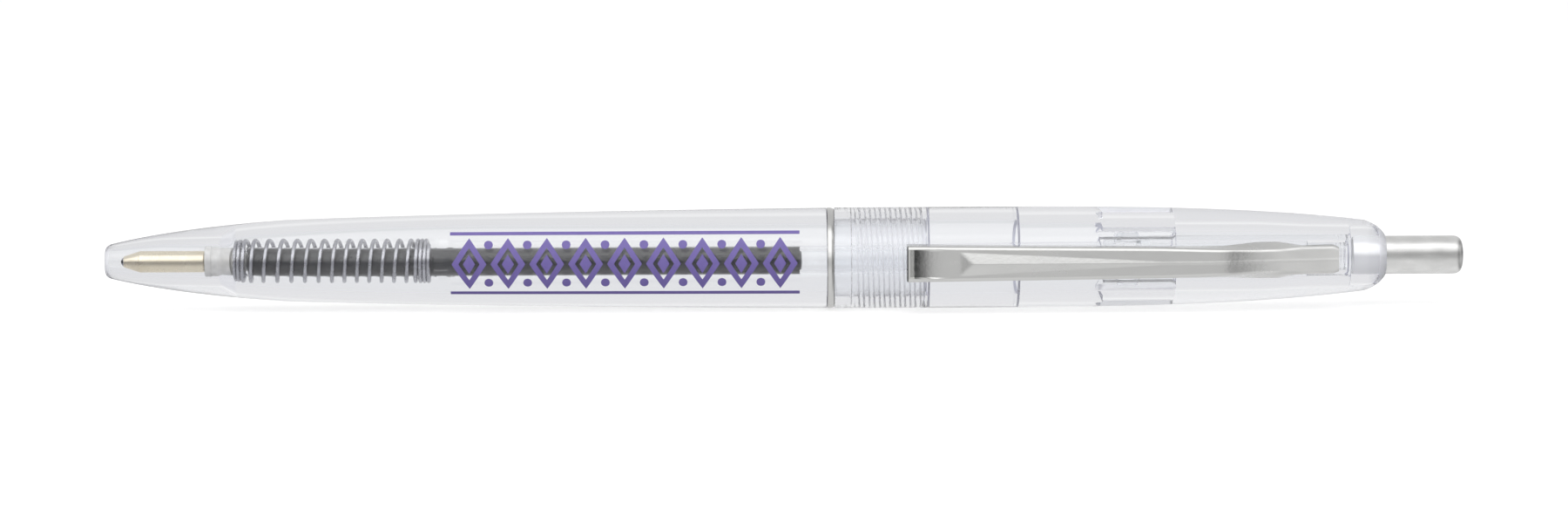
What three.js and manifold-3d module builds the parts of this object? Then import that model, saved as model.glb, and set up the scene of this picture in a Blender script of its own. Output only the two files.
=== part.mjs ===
// A clear pushbutton ballpoint pen, in millimetres, lying on the plane z = 0.
//
// The pen is built round its own axis, which runs along +X from the nose to the button. A place on
// the axis is called a station and is counted from the flat end of the nose. Height is counted from
// the axis towards the clip, which faces -Y, and width across the clip is counted along Z.
//
// Two clear barrels screw together over a bright trim ring. The lower barrel holds the return
// spring. The refill runs through both: ball, tip, socket, ink and tube. Its rear end sits in the
// cup of the rotary cam, whose four fins slide in the slots between the ribs of the upper barrel.
// The button's plunger pushes the cam through a ring of slanted teeth.

import * as THREE from 'three';
import { mergeVertices } from 'three/addons/utils/BufferGeometryUtils.js';
import Module from 'manifold-3d';

const wasm = await Module();
wasm.setup();

// Lower barrel, outside
const LOWER_LENGTH = 74.4;
const NOSE_END_RADIUS = 1.48;
const NOSE_CORNER = 0.42;
const NOSE_RADIUS = 1.8;
const NOSE_LENGTH = 18.5;
const NOSE_FULLNESS_AT = 7.5;
const NOSE_FULLNESS_RADIUS = 3.35;
const SHOULDER_RADIUS = 4.12;
const BODY_FULLNESS_AT = 40;
const BODY_FULLNESS_RADIUS = 4.98;
const BARREL_RADIUS = 5.2;
const REAR_STEP_DOWN = 0.03;

// Lower barrel, inside
const TIP_HOLE_RADIUS = 1.25;
const TIP_HOLE_LENGTH = 3.3;
const NOSE_BORE_CONE = 0.7;
const NOSE_BORE_RADIUS = 1.78;
const SPRING_SEAT_AT = 13.0;
const BORE_TAPER_LENGTH = 27;
const BORE_FULLNESS_LENGTH = 11;
const BORE_RADIUS = 3.55;
const BORE_FULLNESS_GAP = 0.1;

// Screw joint between the barrels
const SPIGOT_LENGTH = 10.2;
const SPIGOT_RADIUS = 3.98;
const THREAD_LEAD_IN = 2.6;
const THREAD_PITCH = 1.05;
const THREAD_TURNS = 6.6;
const THREAD_HEIGHT = 0.34;
const THREAD_BASE_WIDTH = 0.56;
const THREAD_CLEARANCE = 0.14;
const THREAD_ROOT_SINK = 0.1;

// Trim ring
const RING_WIDTH = 0.72;
const RING_STEP_DOWN = 0.01;

// Upper barrel, outside
const UPPER_LENGTH = 56.8;
const STRAIGHT_LENGTH = 18.8;
const TAPER_FULLNESS_LENGTH = 23.5;
const TAPER_FULLNESS_DROP = 0.04;
const DOME_LENGTH = 2.15;
const DOME_RADIUS = 3.56;
const DOME_CORNER_BACK = 0.7;
const DOME_CORNER_RADIUS = 3.15;

// Upper barrel, inside
const COUNTERBORE_LENGTH = 1.8;
const FRONT_BORE_LENGTH = 9.2;
const FRONT_BORE_RADIUS = 3.9;
const RIB_BORE_RADIUS = 3.5;
const RIB_INNER_RADIUS = 2.6;
const RIB_LENGTH = 8.1;
const RIB_ROOT_SINK = 0.15;
const SLOT_COUNT = 4;
const SLOT_WIDTH = 1.05;
const SHANK_BORE_RADIUS = 2.42;
const SHANK_LENGTH = 18.0;
const GUIDE_LENGTH = 3.8;
const CAM_TOOTH_HEIGHT = 0.8;

// Clip. Widths are across its open side or across its flat face, at the front, middle and rear.
const CLIP_LENGTH = 44.7;
const CLIP_THICKNESS = 0.4;
const CLIP_STANDOFF = 1.9;
const CLIP_EDGE_ROUND = 0.34;
const CLIP_FLANGE_DEPTH = 1.15;
const CLIP_FRONT_WIDTH = 3.86;
const CLIP_MIDDLE_WIDTH = 3.24;
const CLIP_WING_WIDTH = 3.92;
const CLIP_TONGUE_WIDTH = 2.86;
const CLIP_TIP_WIDTH = 2.24;
const CLIP_FRONT_FACE = 3.0;
const CLIP_MIDDLE_FACE = 2.44;
const CLIP_WING_FACE = 1.88;
const CLIP_TONGUE_FACE = 2.26;
const CLIP_END_WALL = 0.5;
const CLIP_CORNER = 0.18;
const CLIP_TIP_CORNER = 0.6;
const CLIP_DISH_DEPTH = 0.42;
const CLIP_DISH_WIDTH = 2.7;
const CLIP_DISH_WALL = 0.12;
const CLIP_DISH_FLOOR = 1.3;
const CLIP_DISH_RISE = 3.2;
const CLIP_RIB_GAP = 0.4;
const CLIP_RIB_PROW = 1.4;
const CLIP_RIB_LENGTH = 20.5;
const CLIP_RIB_WIDTH = 2.4;
const CLIP_RIB_END_WIDTH = 0.4;
const CLIP_RIB_HEIGHT = 0.3;
const CLIP_WING_LENGTH = 2.2;
const CLIP_WING_FROM_END = 6.6;
const CLIP_WING_RAMP = 3.4;
const CLIP_WING_REAR_RAMP = 2.4;
const CLIP_BEND_LENGTH = 15.3;
const CLIP_BEND_FULLNESS = 8.8;
const CLIP_BEND_DROP = 0.1;
const CLIP_TONGUE_DEPTH = 0.72;
const CLIP_POCKET_LENGTH = 4.3;
const CLIP_POCKET_FROM_END = 4.1;
const CLIP_POCKET_FLOOR = 0.38;
const CLIP_POCKET_CORNER = 0.5;
const CLIP_END_ROOM = 0.5;

// Button
const CAP_RADIUS = 1.975;
const CAP_WALL = 0.3;
const CAP_PROUD = 8.0;
const CAP_CORNER = 0.75;
const COLLAR_RADIUS = 2.15;
const COLLAR_WIDTH = 0.9;
const COLLAR_CORNER = 0.2;
const PLUNGER_RADIUS = 2.1;
const PLUNGER_BORE_RADIUS = 1.2;
const LUG_LENGTH = 1.4;

// Rotary cam
const FIN_LENGTH = 3.0;
const FIN_THICKNESS = 0.8;
const CAM_NECK_LENGTH = 0.8;
const CAM_CUP_DEPTH = 2.0;
const STROKE_MARGIN = 0.4;

// Refill
const BALL_SETBACK = 1.65;
const BALL_RADIUS = 0.5;
const BALL_PROUD = 0.3;
const TIP_CONE_LENGTH = 1.95;
const TIP_LIP_RADIUS = 0.6;
const TIP_RADIUS = 1.1;
const TIP_LENGTH = 8.75;
const TIP_STEM_RADIUS = 0.75;
const TIP_STEM_LENGTH = 3.0;
const INK_DUCT_RADIUS = 0.3;
const SOCKET_FLANGE_LENGTH = 2.4;
const SOCKET_PLUG_LENGTH = 1.8;
const SOCKET_FRONT_CORNER = 0.15;
const TUBE_RADIUS = 1.525;
const TUBE_BORE_RADIUS = 1.05;
const INK_LENGTH = 57.0;
const EAR_LENGTH = 2.1;
const EAR_THICKNESS = 0.8;
const EAR_HEIGHT = 2.2;

// Return spring
const SPRING_LENGTH = 20.6;
const SPRING_RADIUS = 2.3;
const SPRING_WIRE = 0.4;
const SPRING_CLOSED_FRONT = 2;
const SPRING_CLOSED_REAR = 3;
const SPRING_ACTIVE = 12;
const SPRING_CLOSED_PITCH = 0.86;
const SPRING_STEPS = 8;
const SPRING_SIDES = 5;

// Gaps between neighbours
const FACE_GAP = 0.04;
const SEAT_GAP = 0.12;
const RUNNING_GAP = 0.1;
const SLIDE_GAP = 0.25;
const PRESS_GAP = 0.02;

// Sides of round pieces
const BARREL_SIDES = 32;
const SMALL_SIDES = 24;
const THREAD_SIDES = 16;
const CURVE_STEPS = 8;

// Stations along the pen
const ringStart = LOWER_LENGTH + FACE_GAP;
const ringEnd = ringStart + RING_WIDTH;
const upperStart = ringEnd + FACE_GAP;
const upperEnd = upperStart + UPPER_LENGTH;
const penLength = upperEnd + CAP_PROUD;
const collarSeat = upperEnd - GUIDE_LENGTH;
const slotEnd = collarSeat - SHANK_LENGTH;
const ribFront = slotEnd - RIB_LENGTH;
const lugRear = slotEnd - SLIDE_GAP;
const lugFront = lugRear - LUG_LENGTH;
const toothPlane = lugFront - CAM_TOOTH_HEIGHT / 2;
const finRear = toothPlane - SLIDE_GAP - CAM_TOOTH_HEIGHT / 2;
const finFront = finRear - FIN_LENGTH;
const camFront = finFront - CAM_NECK_LENGTH;
const stroke = finRear - ribFront + STROKE_MARGIN;
const tipRear = BALL_SETBACK + TIP_LENGTH;
const socketRear = tipRear + SOCKET_FLANGE_LENGTH;
const plugRear = socketRear + SOCKET_PLUG_LENGTH;
const tubeFront = socketRear + PRESS_GAP;
const tubeRear = camFront + CAM_CUP_DEPTH - FACE_GAP;
const springFront = SPRING_SEAT_AT + SEAT_GAP;
const springRear = springFront + SPRING_LENGTH;
const earFront = springRear + SEAT_GAP;
const spigotEnd = LOWER_LENGTH + SPIGOT_LENGTH;
const threadStart = LOWER_LENGTH + THREAD_LEAD_IN;
const pocketRear = upperEnd - CLIP_POCKET_FROM_END;
const pocketFront = pocketRear - CLIP_POCKET_LENGTH;
const clipRear = pocketRear - CLIP_END_ROOM;
const clipFront = clipRear - CLIP_LENGTH;

// Geometry helpers

// Joins doubled vertices, drops collapsed triangles and makes the faces point out.
function closedBody(geometry) {
  const bare = geometry.clone();
  for (const name of Object.keys(bare.attributes)) {
    if (name !== 'position') {
      bare.deleteAttribute(name);
    }
  }
  const merged = mergeVertices(bare, 1e-5);
  const place = merged.attributes.position;
  const corner = [new THREE.Vector3(), new THREE.Vector3(), new THREE.Vector3()];
  const kept = [];
  let volume = 0;
  for (let i = 0; i < merged.index.count; i += 3) {
    const [a, b, c] = [0, 1, 2].map((k) => merged.index.getX(i + k));
    if (a === b || b === c || c === a) {
      continue;
    }
    kept.push(a, b, c);
    [a, b, c].forEach((v, k) => corner[k].fromBufferAttribute(place, v));
    volume += corner[0].dot(corner[1].clone().cross(corner[2])) / 6;
  }
  if (volume < 0) {
    kept.reverse();
  }
  merged.setIndex(kept);
  return merged;
}

function solid(geometry) {
  const mesh = closedBody(geometry);
  const vertProperties = new Float32Array(mesh.attributes.position.array);
  const triVerts = new Uint32Array(mesh.index.array);
  return new wasm.Manifold(new wasm.Mesh({ numProp: 3, vertProperties, triVerts }));
}

function geometryOf(manifold) {
  const { vertProperties, triVerts } = manifold.getMesh();
  const geometry = new THREE.BufferGeometry();
  geometry.setAttribute('position', new THREE.BufferAttribute(new Float32Array(vertProperties), 3));
  geometry.setIndex(new THREE.BufferAttribute(new Uint32Array(triVerts), 1));
  return geometry;
}

// Turns a profile of [station, radius] points round the pen's axis.
function turned(profile, sides) {
  const points = profile.map(([station, radius]) => new THREE.Vector2(radius, station));
  const geometry = new THREE.LatheGeometry(points, sides);
  geometry.rotateZ(-Math.PI / 2);
  return closedBody(geometry);
}

// A turned piece that is solid on the axis.
function turnedBar(outline, sides) {
  const first = [outline[0][0], 0];
  const last = [outline[outline.length - 1][0], 0];
  return turned([first, ...outline, last], sides);
}

// A turned piece with a hole through it: the outside front to rear, then the bore rear to front.
function turnedTube(outside, bore, sides) {
  return turned([...outside, ...bore, outside[0]], sides);
}

// Points of the smooth curve from start to end that is drawn towards the middle point.
function bend(start, middle, end, steps = CURVE_STEPS) {
  const curve = new THREE.QuadraticBezierCurve(
    new THREE.Vector2(...start),
    new THREE.Vector2(...middle),
    new THREE.Vector2(...end),
  );
  return curve.getPoints(steps).map((point) => [point.x, point.y]);
}

// The height of an outline of [station, height] points at one station.
function heightAt(outline, station) {
  for (let i = 1; i < outline.length; i += 1) {
    const [s0, h0] = outline[i - 1];
    const [s1, h1] = outline[i];
    if (station <= s1) {
      return h0 + ((h1 - h0) * Math.max(station - s0, 0)) / (s1 - s0);
    }
  }
  return outline[outline.length - 1][1];
}

// Skins a row of loops, each a list of points. A ring of loops closes on its first loop. Otherwise
// both ends are capped: a fan fits a convex loop, and pairs fit a channel, whose loop runs along
// its outside and back along its inside.
function skin(loops, ends) {
  const size = loops[0].length;
  const positions = loops.flat().flatMap((point) => [point.x, point.y, point.z]);
  const index = [];
  const spans = ends === 'ring' ? loops.length : loops.length - 1;
  for (let i = 0; i < spans; i += 1) {
    const here = i * size;
    const next = ((i + 1) % loops.length) * size;
    for (let k = 0; k < size; k += 1) {
      const after = (k + 1) % size;
      index.push(here + k, next + k, next + after);
      index.push(here + k, next + after, here + after);
    }
  }
  const cap = (base, turn) => {
    const add = (a, b, c) => index.push(...(turn ? [a, c, b] : [a, b, c]).map((v) => base + v));
    if (ends === 'fan') {
      for (let k = 1; k < size - 1; k += 1) {
        add(0, k, k + 1);
      }
    }
    if (ends === 'pairs') {
      for (let k = 0; k < size / 2 - 1; k += 1) {
        add(k, k + 1, size - 2 - k);
        add(k, size - 2 - k, size - 1 - k);
      }
    }
  };
  if (ends !== 'ring') {
    cap(0, false);
    cap((loops.length - 1) * size, true);
  }
  const geometry = new THREE.BufferGeometry();
  geometry.setAttribute('position', new THREE.Float32BufferAttribute(positions, 3));
  geometry.setIndex(index);
  return closedBody(geometry);
}

function onAxis(station, radius, angle) {
  return new THREE.Vector3(station, radius * Math.cos(angle), radius * Math.sin(angle));
}

// A right-handed ridge with a three-cornered section, wound round the pen's axis.
function threadRidge(start, turns, rootRadius, crestRadius, baseWidth) {
  const loops = [];
  const steps = Math.round(turns * THREAD_SIDES);
  for (let i = 0; i <= steps; i += 1) {
    const angle = (2 * Math.PI * i) / THREAD_SIDES;
    const station = start + (THREAD_PITCH * i) / THREAD_SIDES;
    loops.push([
      onAxis(station - baseWidth / 2, rootRadius, angle),
      onAxis(station, crestRadius, angle),
      onAxis(station + baseWidth / 2, rootRadius, angle),
    ]);
  }
  return skin(loops, 'fan');
}

// A ring whose one end is flat and whose other end is a row of slanted teeth, two for each slot.
// Teeth are centred on the tooth plane, so two such ends that face each other mesh.
function toothedRing(flatStation, toothStation, innerRadius, outerRadius) {
  const teeth = 2 * SLOT_COUNT;
  const stepsPerTooth = 3;
  const wallAngle = 0.03;
  const loops = [];
  for (let tooth = 0; tooth < teeth; tooth += 1) {
    for (let step = 0; step <= stepsPerTooth; step += 1) {
      const share = step / stepsPerTooth;
      const span = (2 * Math.PI) / teeth;
      const angle = tooth * span + share * (span - wallAngle);
      const station = toothStation + CAM_TOOTH_HEIGHT * (share - 0.5);
      loops.push([
        onAxis(flatStation, innerRadius, angle),
        onAxis(station, innerRadius, angle),
        onAxis(station, outerRadius, angle),
        onAxis(flatStation, outerRadius, angle),
      ]);
    }
  }
  return skin(loops, 'ring');
}

// A straight bar that stands out from the axis in one slot's direction. Its plan is a rectangle
// with a round rear end, or a slanted one.
function slotBar(front, rear, width, innerRadius, outerRadius, turn, rearEnd) {
  const half = width / 2;
  const plan = new THREE.Shape();
  plan.moveTo(front, -half);
  if (rearEnd === 'round') {
    plan.lineTo(rear - half, -half);
    plan.absarc(rear - half, 0, half, -Math.PI / 2, Math.PI / 2, false);
  } else {
    plan.lineTo(rear, -half);
    plan.lineTo(rear - half, half);
  }
  plan.lineTo(front, half);
  plan.closePath();
  const depth = outerRadius - innerRadius;
  const bar = new THREE.ExtrudeGeometry(plan, { depth, bevelEnabled: false, curveSegments: 4 });
  bar.translate(0, 0, innerRadius);
  bar.rotateX(turn);
  return bar;
}

// The slots lie midway between the clip's direction and the two directions across it.
function slotTurns() {
  return Array.from({ length: SLOT_COUNT }, (_, i) => (2 * Math.PI * (i + 0.5)) / SLOT_COUNT);
}

function material(color, roughness, metalness, opacity = 1) {
  const transparent = opacity < 1;
  return new THREE.MeshStandardMaterial({ color, roughness, metalness, opacity, transparent });
}

const clearPlastic = () => material(0xeef2f5, 0.08, 0, 0.3);
const brightPlate = () => material(0xc9cac8, 0.18, 1);
const springSteel = () => material(0xb4b6ba, 0.25, 1);
const nickelSilver = () => material(0xc9bd9c, 0.28, 1);
const paleSocket = () => material(0xe6e6e0, 0.35, 0, 0.75);
const darkInk = () => material(0x15151a, 0.3, 0);

function piece(name, geometry, look) {
  const mesh = new THREE.Mesh(geometry, look);
  mesh.name = name;
  return mesh;
}

// Outlines that more than one piece uses

const lowerRearRadius = BARREL_RADIUS - REAR_STEP_DOWN;
const boreFrontRadius = SPRING_RADIUS + RUNNING_GAP;
const threadCrest = SPIGOT_RADIUS + THREAD_HEIGHT;
const femaleMinor = SPIGOT_RADIUS + THREAD_CLEARANCE;
const femaleCrest = threadCrest + THREAD_CLEARANCE;
const collarBoreRadius = COLLAR_RADIUS + RUNNING_GAP;
const pocketFloor = collarBoreRadius + CLIP_POCKET_FLOOR;

const upperOutside = [
  [upperStart, BARREL_RADIUS],
  ...bend(
    [upperStart + STRAIGHT_LENGTH, BARREL_RADIUS],
    [upperStart + STRAIGHT_LENGTH + TAPER_FULLNESS_LENGTH, BARREL_RADIUS - TAPER_FULLNESS_DROP],
    [upperEnd - DOME_LENGTH, DOME_RADIUS],
    10,
  ),
  ...bend(
    [upperEnd - DOME_LENGTH, DOME_RADIUS],
    [upperEnd - DOME_CORNER_BACK, DOME_CORNER_RADIUS],
    [upperEnd, CAP_RADIUS + RUNNING_GAP],
    5,
  ).slice(1, -1),
  [upperEnd, CAP_RADIUS + RUNNING_GAP + FACE_GAP],
];

// Lower barrel: tapered nose, straight spigot and a right-handed thread on the spigot

function lowerBarrel() {
  const outside = [
    [0, NOSE_END_RADIUS],
    ...bend(
      [NOSE_CORNER, NOSE_RADIUS],
      [NOSE_FULLNESS_AT, NOSE_FULLNESS_RADIUS],
      [NOSE_LENGTH, SHOULDER_RADIUS],
    ),
    ...bend(
      [NOSE_LENGTH, SHOULDER_RADIUS],
      [BODY_FULLNESS_AT, BODY_FULLNESS_RADIUS],
      [LOWER_LENGTH, lowerRearRadius],
    ).slice(1),
    [LOWER_LENGTH, SPIGOT_RADIUS],
    [spigotEnd, SPIGOT_RADIUS],
  ];
  const taperEnd = SPRING_SEAT_AT + BORE_TAPER_LENGTH;
  const bore = [
    [spigotEnd, BORE_RADIUS],
    ...bend(
      [SPRING_SEAT_AT, boreFrontRadius],
      [SPRING_SEAT_AT + BORE_FULLNESS_LENGTH, BORE_RADIUS - BORE_FULLNESS_GAP],
      [taperEnd, BORE_RADIUS],
      6,
    ).reverse(),
    [SPRING_SEAT_AT, NOSE_BORE_RADIUS],
    [TIP_HOLE_LENGTH + NOSE_BORE_CONE, NOSE_BORE_RADIUS],
    [TIP_HOLE_LENGTH, TIP_HOLE_RADIUS],
    [0, TIP_HOLE_RADIUS],
  ];
  const ridge = threadRidge(
    threadStart + THREAD_BASE_WIDTH / 2,
    THREAD_TURNS,
    SPIGOT_RADIUS - THREAD_ROOT_SINK,
    threadCrest,
    THREAD_BASE_WIDTH,
  );
  const body = solid(turnedTube(outside, bore, BARREL_SIDES));
  return geometryOf(body.add(solid(ridge)));
}

// Trim ring: held between the shoulders of the two barrels, loose on the spigot

function trimRing() {
  const radius = BARREL_RADIUS - RING_STEP_DOWN;
  const bore = SPIGOT_RADIUS + RUNNING_GAP;
  return turned(
    [
      [ringStart, radius],
      [ringEnd, radius],
      [ringEnd, bore],
      [ringStart, bore],
      [ringStart, radius],
    ],
    BARREL_SIDES,
  );
}

// Upper barrel: thread, bore, four guide ribs with slanted front ends, clip pocket and dome end

function upperBarrel() {
  const threadEnd = spigotEnd + SLIDE_GAP;
  const frontBoreEnd = threadEnd + FRONT_BORE_LENGTH;
  const bore = [
    [upperEnd, CAP_RADIUS + RUNNING_GAP],
    [collarSeat, CAP_RADIUS + RUNNING_GAP],
    [collarSeat, collarBoreRadius],
    [pocketFront - SLIDE_GAP, collarBoreRadius],
    [pocketFront - 2 * SLIDE_GAP, SHANK_BORE_RADIUS],
    [slotEnd, SHANK_BORE_RADIUS],
    [slotEnd, RIB_BORE_RADIUS],
    [frontBoreEnd, RIB_BORE_RADIUS],
    [frontBoreEnd, FRONT_BORE_RADIUS],
    [threadEnd, FRONT_BORE_RADIUS],
    [threadEnd, femaleMinor],
    [upperStart + COUNTERBORE_LENGTH, femaleMinor],
    [upperStart + COUNTERBORE_LENGTH, femaleCrest],
    [upperStart, femaleCrest],
  ];
  const groove = threadRidge(
    threadStart + THREAD_BASE_WIDTH / 2 - THREAD_PITCH,
    THREAD_TURNS + 1.4,
    femaleMinor - THREAD_ROOT_SINK,
    femaleCrest,
    THREAD_BASE_WIDTH + THREAD_CLEARANCE,
  );
  const ribs = toothedRing(
    slotEnd + RIB_ROOT_SINK,
    ribFront + CAM_TOOTH_HEIGHT / 2,
    RIB_INNER_RADIUS,
    RIB_BORE_RADIUS + RIB_ROOT_SINK,
  );
  let body = solid(turnedTube(upperOutside, bore, BARREL_SIDES));
  let ribRing = solid(ribs);
  for (const turn of slotTurns()) {
    const front = ribFront - CAM_TOOTH_HEIGHT;
    const reach = RIB_BORE_RADIUS - FACE_GAP;
    ribRing = ribRing.subtract(solid(slotBar(front, slotEnd, SLOT_WIDTH, 1, reach, turn, 'round')));
  }
  body = body.add(ribRing).subtract(solid(groove)).subtract(solid(clipPocket()));
  return geometryOf(body);
}

// The pocket that the clip's rear end is tucked into. It doesn't reach the bore.
function clipPocket() {
  const { open } = clipOutlines();
  const widest = Math.max(heightAt(open, CLIP_LENGTH), heightAt(open, pocketFront - clipFront));
  const half = Math.max(widest, CLIP_TONGUE_WIDTH / 2) + SLIDE_GAP;
  const corner = Math.min(CLIP_POCKET_CORNER, half / 2);
  const plan = new THREE.Shape();
  plan.moveTo(pocketFront, -half);
  plan.lineTo(pocketRear - corner, -half);
  plan.absarc(pocketRear - corner, corner - half, corner, -Math.PI / 2, 0, false);
  plan.absarc(pocketRear - corner, half - corner, corner, 0, Math.PI / 2, false);
  plan.lineTo(pocketFront, half);
  plan.closePath();
  const depth = BARREL_RADIUS;
  const cut = new THREE.ExtrudeGeometry(plan, { depth, bevelEnabled: false, curveSegments: 3 });
  cut.translate(0, 0, pocketFloor);
  cut.rotateX(Math.PI / 2);
  return cut;
}

// Clip: a pressed channel. Each outline runs from the clip's front end, and gives one measure of
// its section: the height of its face, half the width of the face and of the open side, the depth
// of the flanges, and how the middle of the face sinks into the dish and rises into the rib.

function clipOutlines() {
  const length = CLIP_LENGTH;
  const dishStart = CLIP_END_WALL;
  const dishFloor = dishStart + CLIP_DISH_WALL;
  const dishRise = dishFloor + CLIP_DISH_FLOOR;
  const dishEnd = dishRise + CLIP_DISH_RISE;
  const ribStart = dishEnd + CLIP_RIB_GAP;
  const ribCrest = ribStart + CLIP_RIB_PROW;
  const ribEnd = ribStart + CLIP_RIB_LENGTH;
  const wingRear = length - CLIP_WING_FROM_END;
  const wingFront = wingRear - CLIP_WING_LENGTH;
  const rampFront = wingFront - CLIP_WING_RAMP;
  const rampRear = wingRear + CLIP_WING_REAR_RAMP;
  const tip = length - CLIP_TIP_CORNER;
  const face = BARREL_RADIUS + CLIP_STANDOFF;
  const tongueTop = pocketFloor + SLIDE_GAP + CLIP_TONGUE_DEPTH;
  const top = [
    [0, face],
    ...bend(
      [length - CLIP_BEND_LENGTH, face],
      [length - CLIP_BEND_FULLNESS, face - CLIP_BEND_DROP],
      [length, tongueTop],
      9,
    ),
  ];
  const flat = [
    [0, CLIP_FRONT_FACE / 2],
    [ribEnd, CLIP_MIDDLE_FACE / 2],
    [wingFront, CLIP_WING_FACE / 2],
    [wingRear, CLIP_WING_FACE / 2],
    [rampRear, CLIP_TONGUE_FACE / 2],
    [tip, CLIP_TONGUE_FACE / 2],
    [length, CLIP_TIP_WIDTH / 2 - CLIP_EDGE_ROUND],
  ];
  const open = [
    [0, CLIP_FRONT_WIDTH / 2 - CLIP_CORNER],
    [CLIP_CORNER, CLIP_FRONT_WIDTH / 2],
    [ribEnd, CLIP_MIDDLE_WIDTH / 2],
    [rampFront, CLIP_MIDDLE_WIDTH / 2],
    [wingFront, CLIP_WING_WIDTH / 2],
    [wingRear, CLIP_WING_WIDTH / 2],
    [rampRear, CLIP_TONGUE_WIDTH / 2],
    [tip, CLIP_TONGUE_WIDTH / 2],
    [length, CLIP_TIP_WIDTH / 2],
  ];
  const seated = (at) => {
    const inside = heightAt(open, at) - CLIP_THICKNESS;
    const barrel = heightAt(upperOutside, clipFront + at);
    return [at, heightAt(top, at) - Math.sqrt(barrel ** 2 - inside ** 2) - SLIDE_GAP];
  };
  const depth = [
    seated(0),
    seated(dishRise),
    [dishEnd, CLIP_FLANGE_DEPTH],
    [rampFront, CLIP_FLANGE_DEPTH],
    seated(wingFront),
    seated(wingRear),
    [rampRear, CLIP_TONGUE_DEPTH + SEAT_GAP],
    [length, CLIP_TONGUE_DEPTH],
  ];
  const dish = [
    [dishStart, 0],
    [dishFloor, -CLIP_DISH_DEPTH],
    [dishRise, -CLIP_DISH_DEPTH],
    [dishEnd, 0],
  ];
  const crest = [...dish, [ribStart, 0], [ribCrest, CLIP_RIB_HEIGHT], [ribEnd, 0]];
  const relief = [
    [dishEnd, CLIP_DISH_WIDTH / 2],
    [ribStart, CLIP_RIB_WIDTH / 2],
    [ribCrest, CLIP_RIB_WIDTH / 2],
    [ribEnd, CLIP_RIB_END_WIDTH / 2],
  ];
  return { top, flat, open, depth, dish, crest, relief };
}

function clipLoop(outlines, at) {
  const measure = (name) => heightAt(outlines[name], at);
  const top = measure('top');
  const bottom = top - measure('depth');
  const flat = measure('flat');
  const open = measure('open');
  const least = CLIP_THICKNESS / 4;
  const middle = Math.min(measure('relief'), flat - least);
  const side = Math.min(flat + CLIP_EDGE_ROUND, open);
  const halfLoop = [
    [open, bottom],
    [side, top - CLIP_EDGE_ROUND],
    [flat, top],
    [middle, top + measure('dish')],
  ];
  const mirrored = halfLoop.map(([width, height]) => [-width, height]);
  const outer = [...mirrored, [0, top + measure('crest')], ...halfLoop.reverse()];
  const inner = outer.map(([width, height], i) => {
    const isFoot = i === 0 || i === outer.length - 1;
    const inward = Math.sign(width) * Math.max(Math.abs(width) - CLIP_THICKNESS, least);
    const isWall = at <= CLIP_END_WALL;
    const sunk = Math.min(height, top + measure('dish'));
    const under = Math.max(sunk - CLIP_THICKNESS, bottom + least);
    return [inward, isFoot || isWall ? bottom : under];
  });
  const place = ([width, height]) => new THREE.Vector3(clipFront + at, -height, width);
  return [...outer.map(place), ...inner.reverse().map(place)];
}

function pocketClip() {
  const outlines = clipOutlines();
  const places = Object.values(outlines).flatMap((outline) => outline.map(([at]) => at));
  const sorted = [...new Set([0, ...places])].sort((a, b) => a - b);
  const apart = sorted.filter((at, i) => i === 0 || at - sorted[i - 1] > PRESS_GAP);
  return skin(apart.map((at) => clipLoop(outlines, at)), 'pairs');
}

// Button: a drawn metal cap over the clear plunger, whose collar stops against the barrel's guide

const capFront = collarSeat + SLIDE_GAP;

function buttonCap() {
  const inner = CAP_RADIUS - CAP_WALL;
  const outside = [
    [capFront, CAP_RADIUS],
    ...bend(
      [penLength - CAP_CORNER, CAP_RADIUS],
      [penLength, CAP_RADIUS],
      [penLength, CAP_RADIUS - CAP_CORNER],
      4,
    ),
    [penLength, 0],
    [penLength - CAP_WALL, 0],
    [penLength - CAP_WALL, inner - CAP_CORNER / 2],
    [penLength - CAP_WALL - CAP_CORNER / 2, inner],
    [capFront, inner],
    [capFront, CAP_RADIUS],
  ];
  return turned(outside, SMALL_SIDES);
}

function buttonPlunger() {
  const neck = CAP_RADIUS - CAP_WALL - RUNNING_GAP;
  const collarRear = collarSeat - SEAT_GAP;
  const collarFront = collarRear - COLLAR_WIDTH;
  const neckEnd = penLength - CAP_WALL - CAP_CORNER;
  const sleeveFront = toothPlane + CAM_TOOTH_HEIGHT;
  const outside = [
    [sleeveFront, PLUNGER_RADIUS],
    [collarFront, PLUNGER_RADIUS],
    [collarFront + COLLAR_CORNER, COLLAR_RADIUS],
    [collarRear - COLLAR_CORNER, COLLAR_RADIUS],
    [collarRear, COLLAR_RADIUS - COLLAR_CORNER],
    [collarRear, neck],
    [neckEnd, neck],
    [neckEnd, 0],
    [collarFront, 0],
    [collarFront - PLUNGER_BORE_RADIUS, PLUNGER_BORE_RADIUS],
    [sleeveFront, PLUNGER_BORE_RADIUS],
    [sleeveFront, PLUNGER_RADIUS],
  ];
  const teeth = toothedRing(
    sleeveFront + CAM_TOOTH_HEIGHT,
    toothPlane + SLIDE_GAP / 2,
    PLUNGER_BORE_RADIUS,
    PLUNGER_RADIUS,
  );
  let body = solid(turned(outside, SMALL_SIDES)).add(solid(teeth));
  const inner = (PLUNGER_BORE_RADIUS + PLUNGER_RADIUS) / 2;
  const reach = RIB_BORE_RADIUS - SLIDE_GAP;
  for (const turn of slotTurns()) {
    const lug = slotBar(lugFront, lugRear, FIN_THICKNESS, inner, reach, turn, 'round');
    body = body.add(solid(lug));
  }
  return geometryOf(body);
}

// Rotary cam: a cup for the ink tube in front, slanted teeth behind, four fins in the slots

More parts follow.
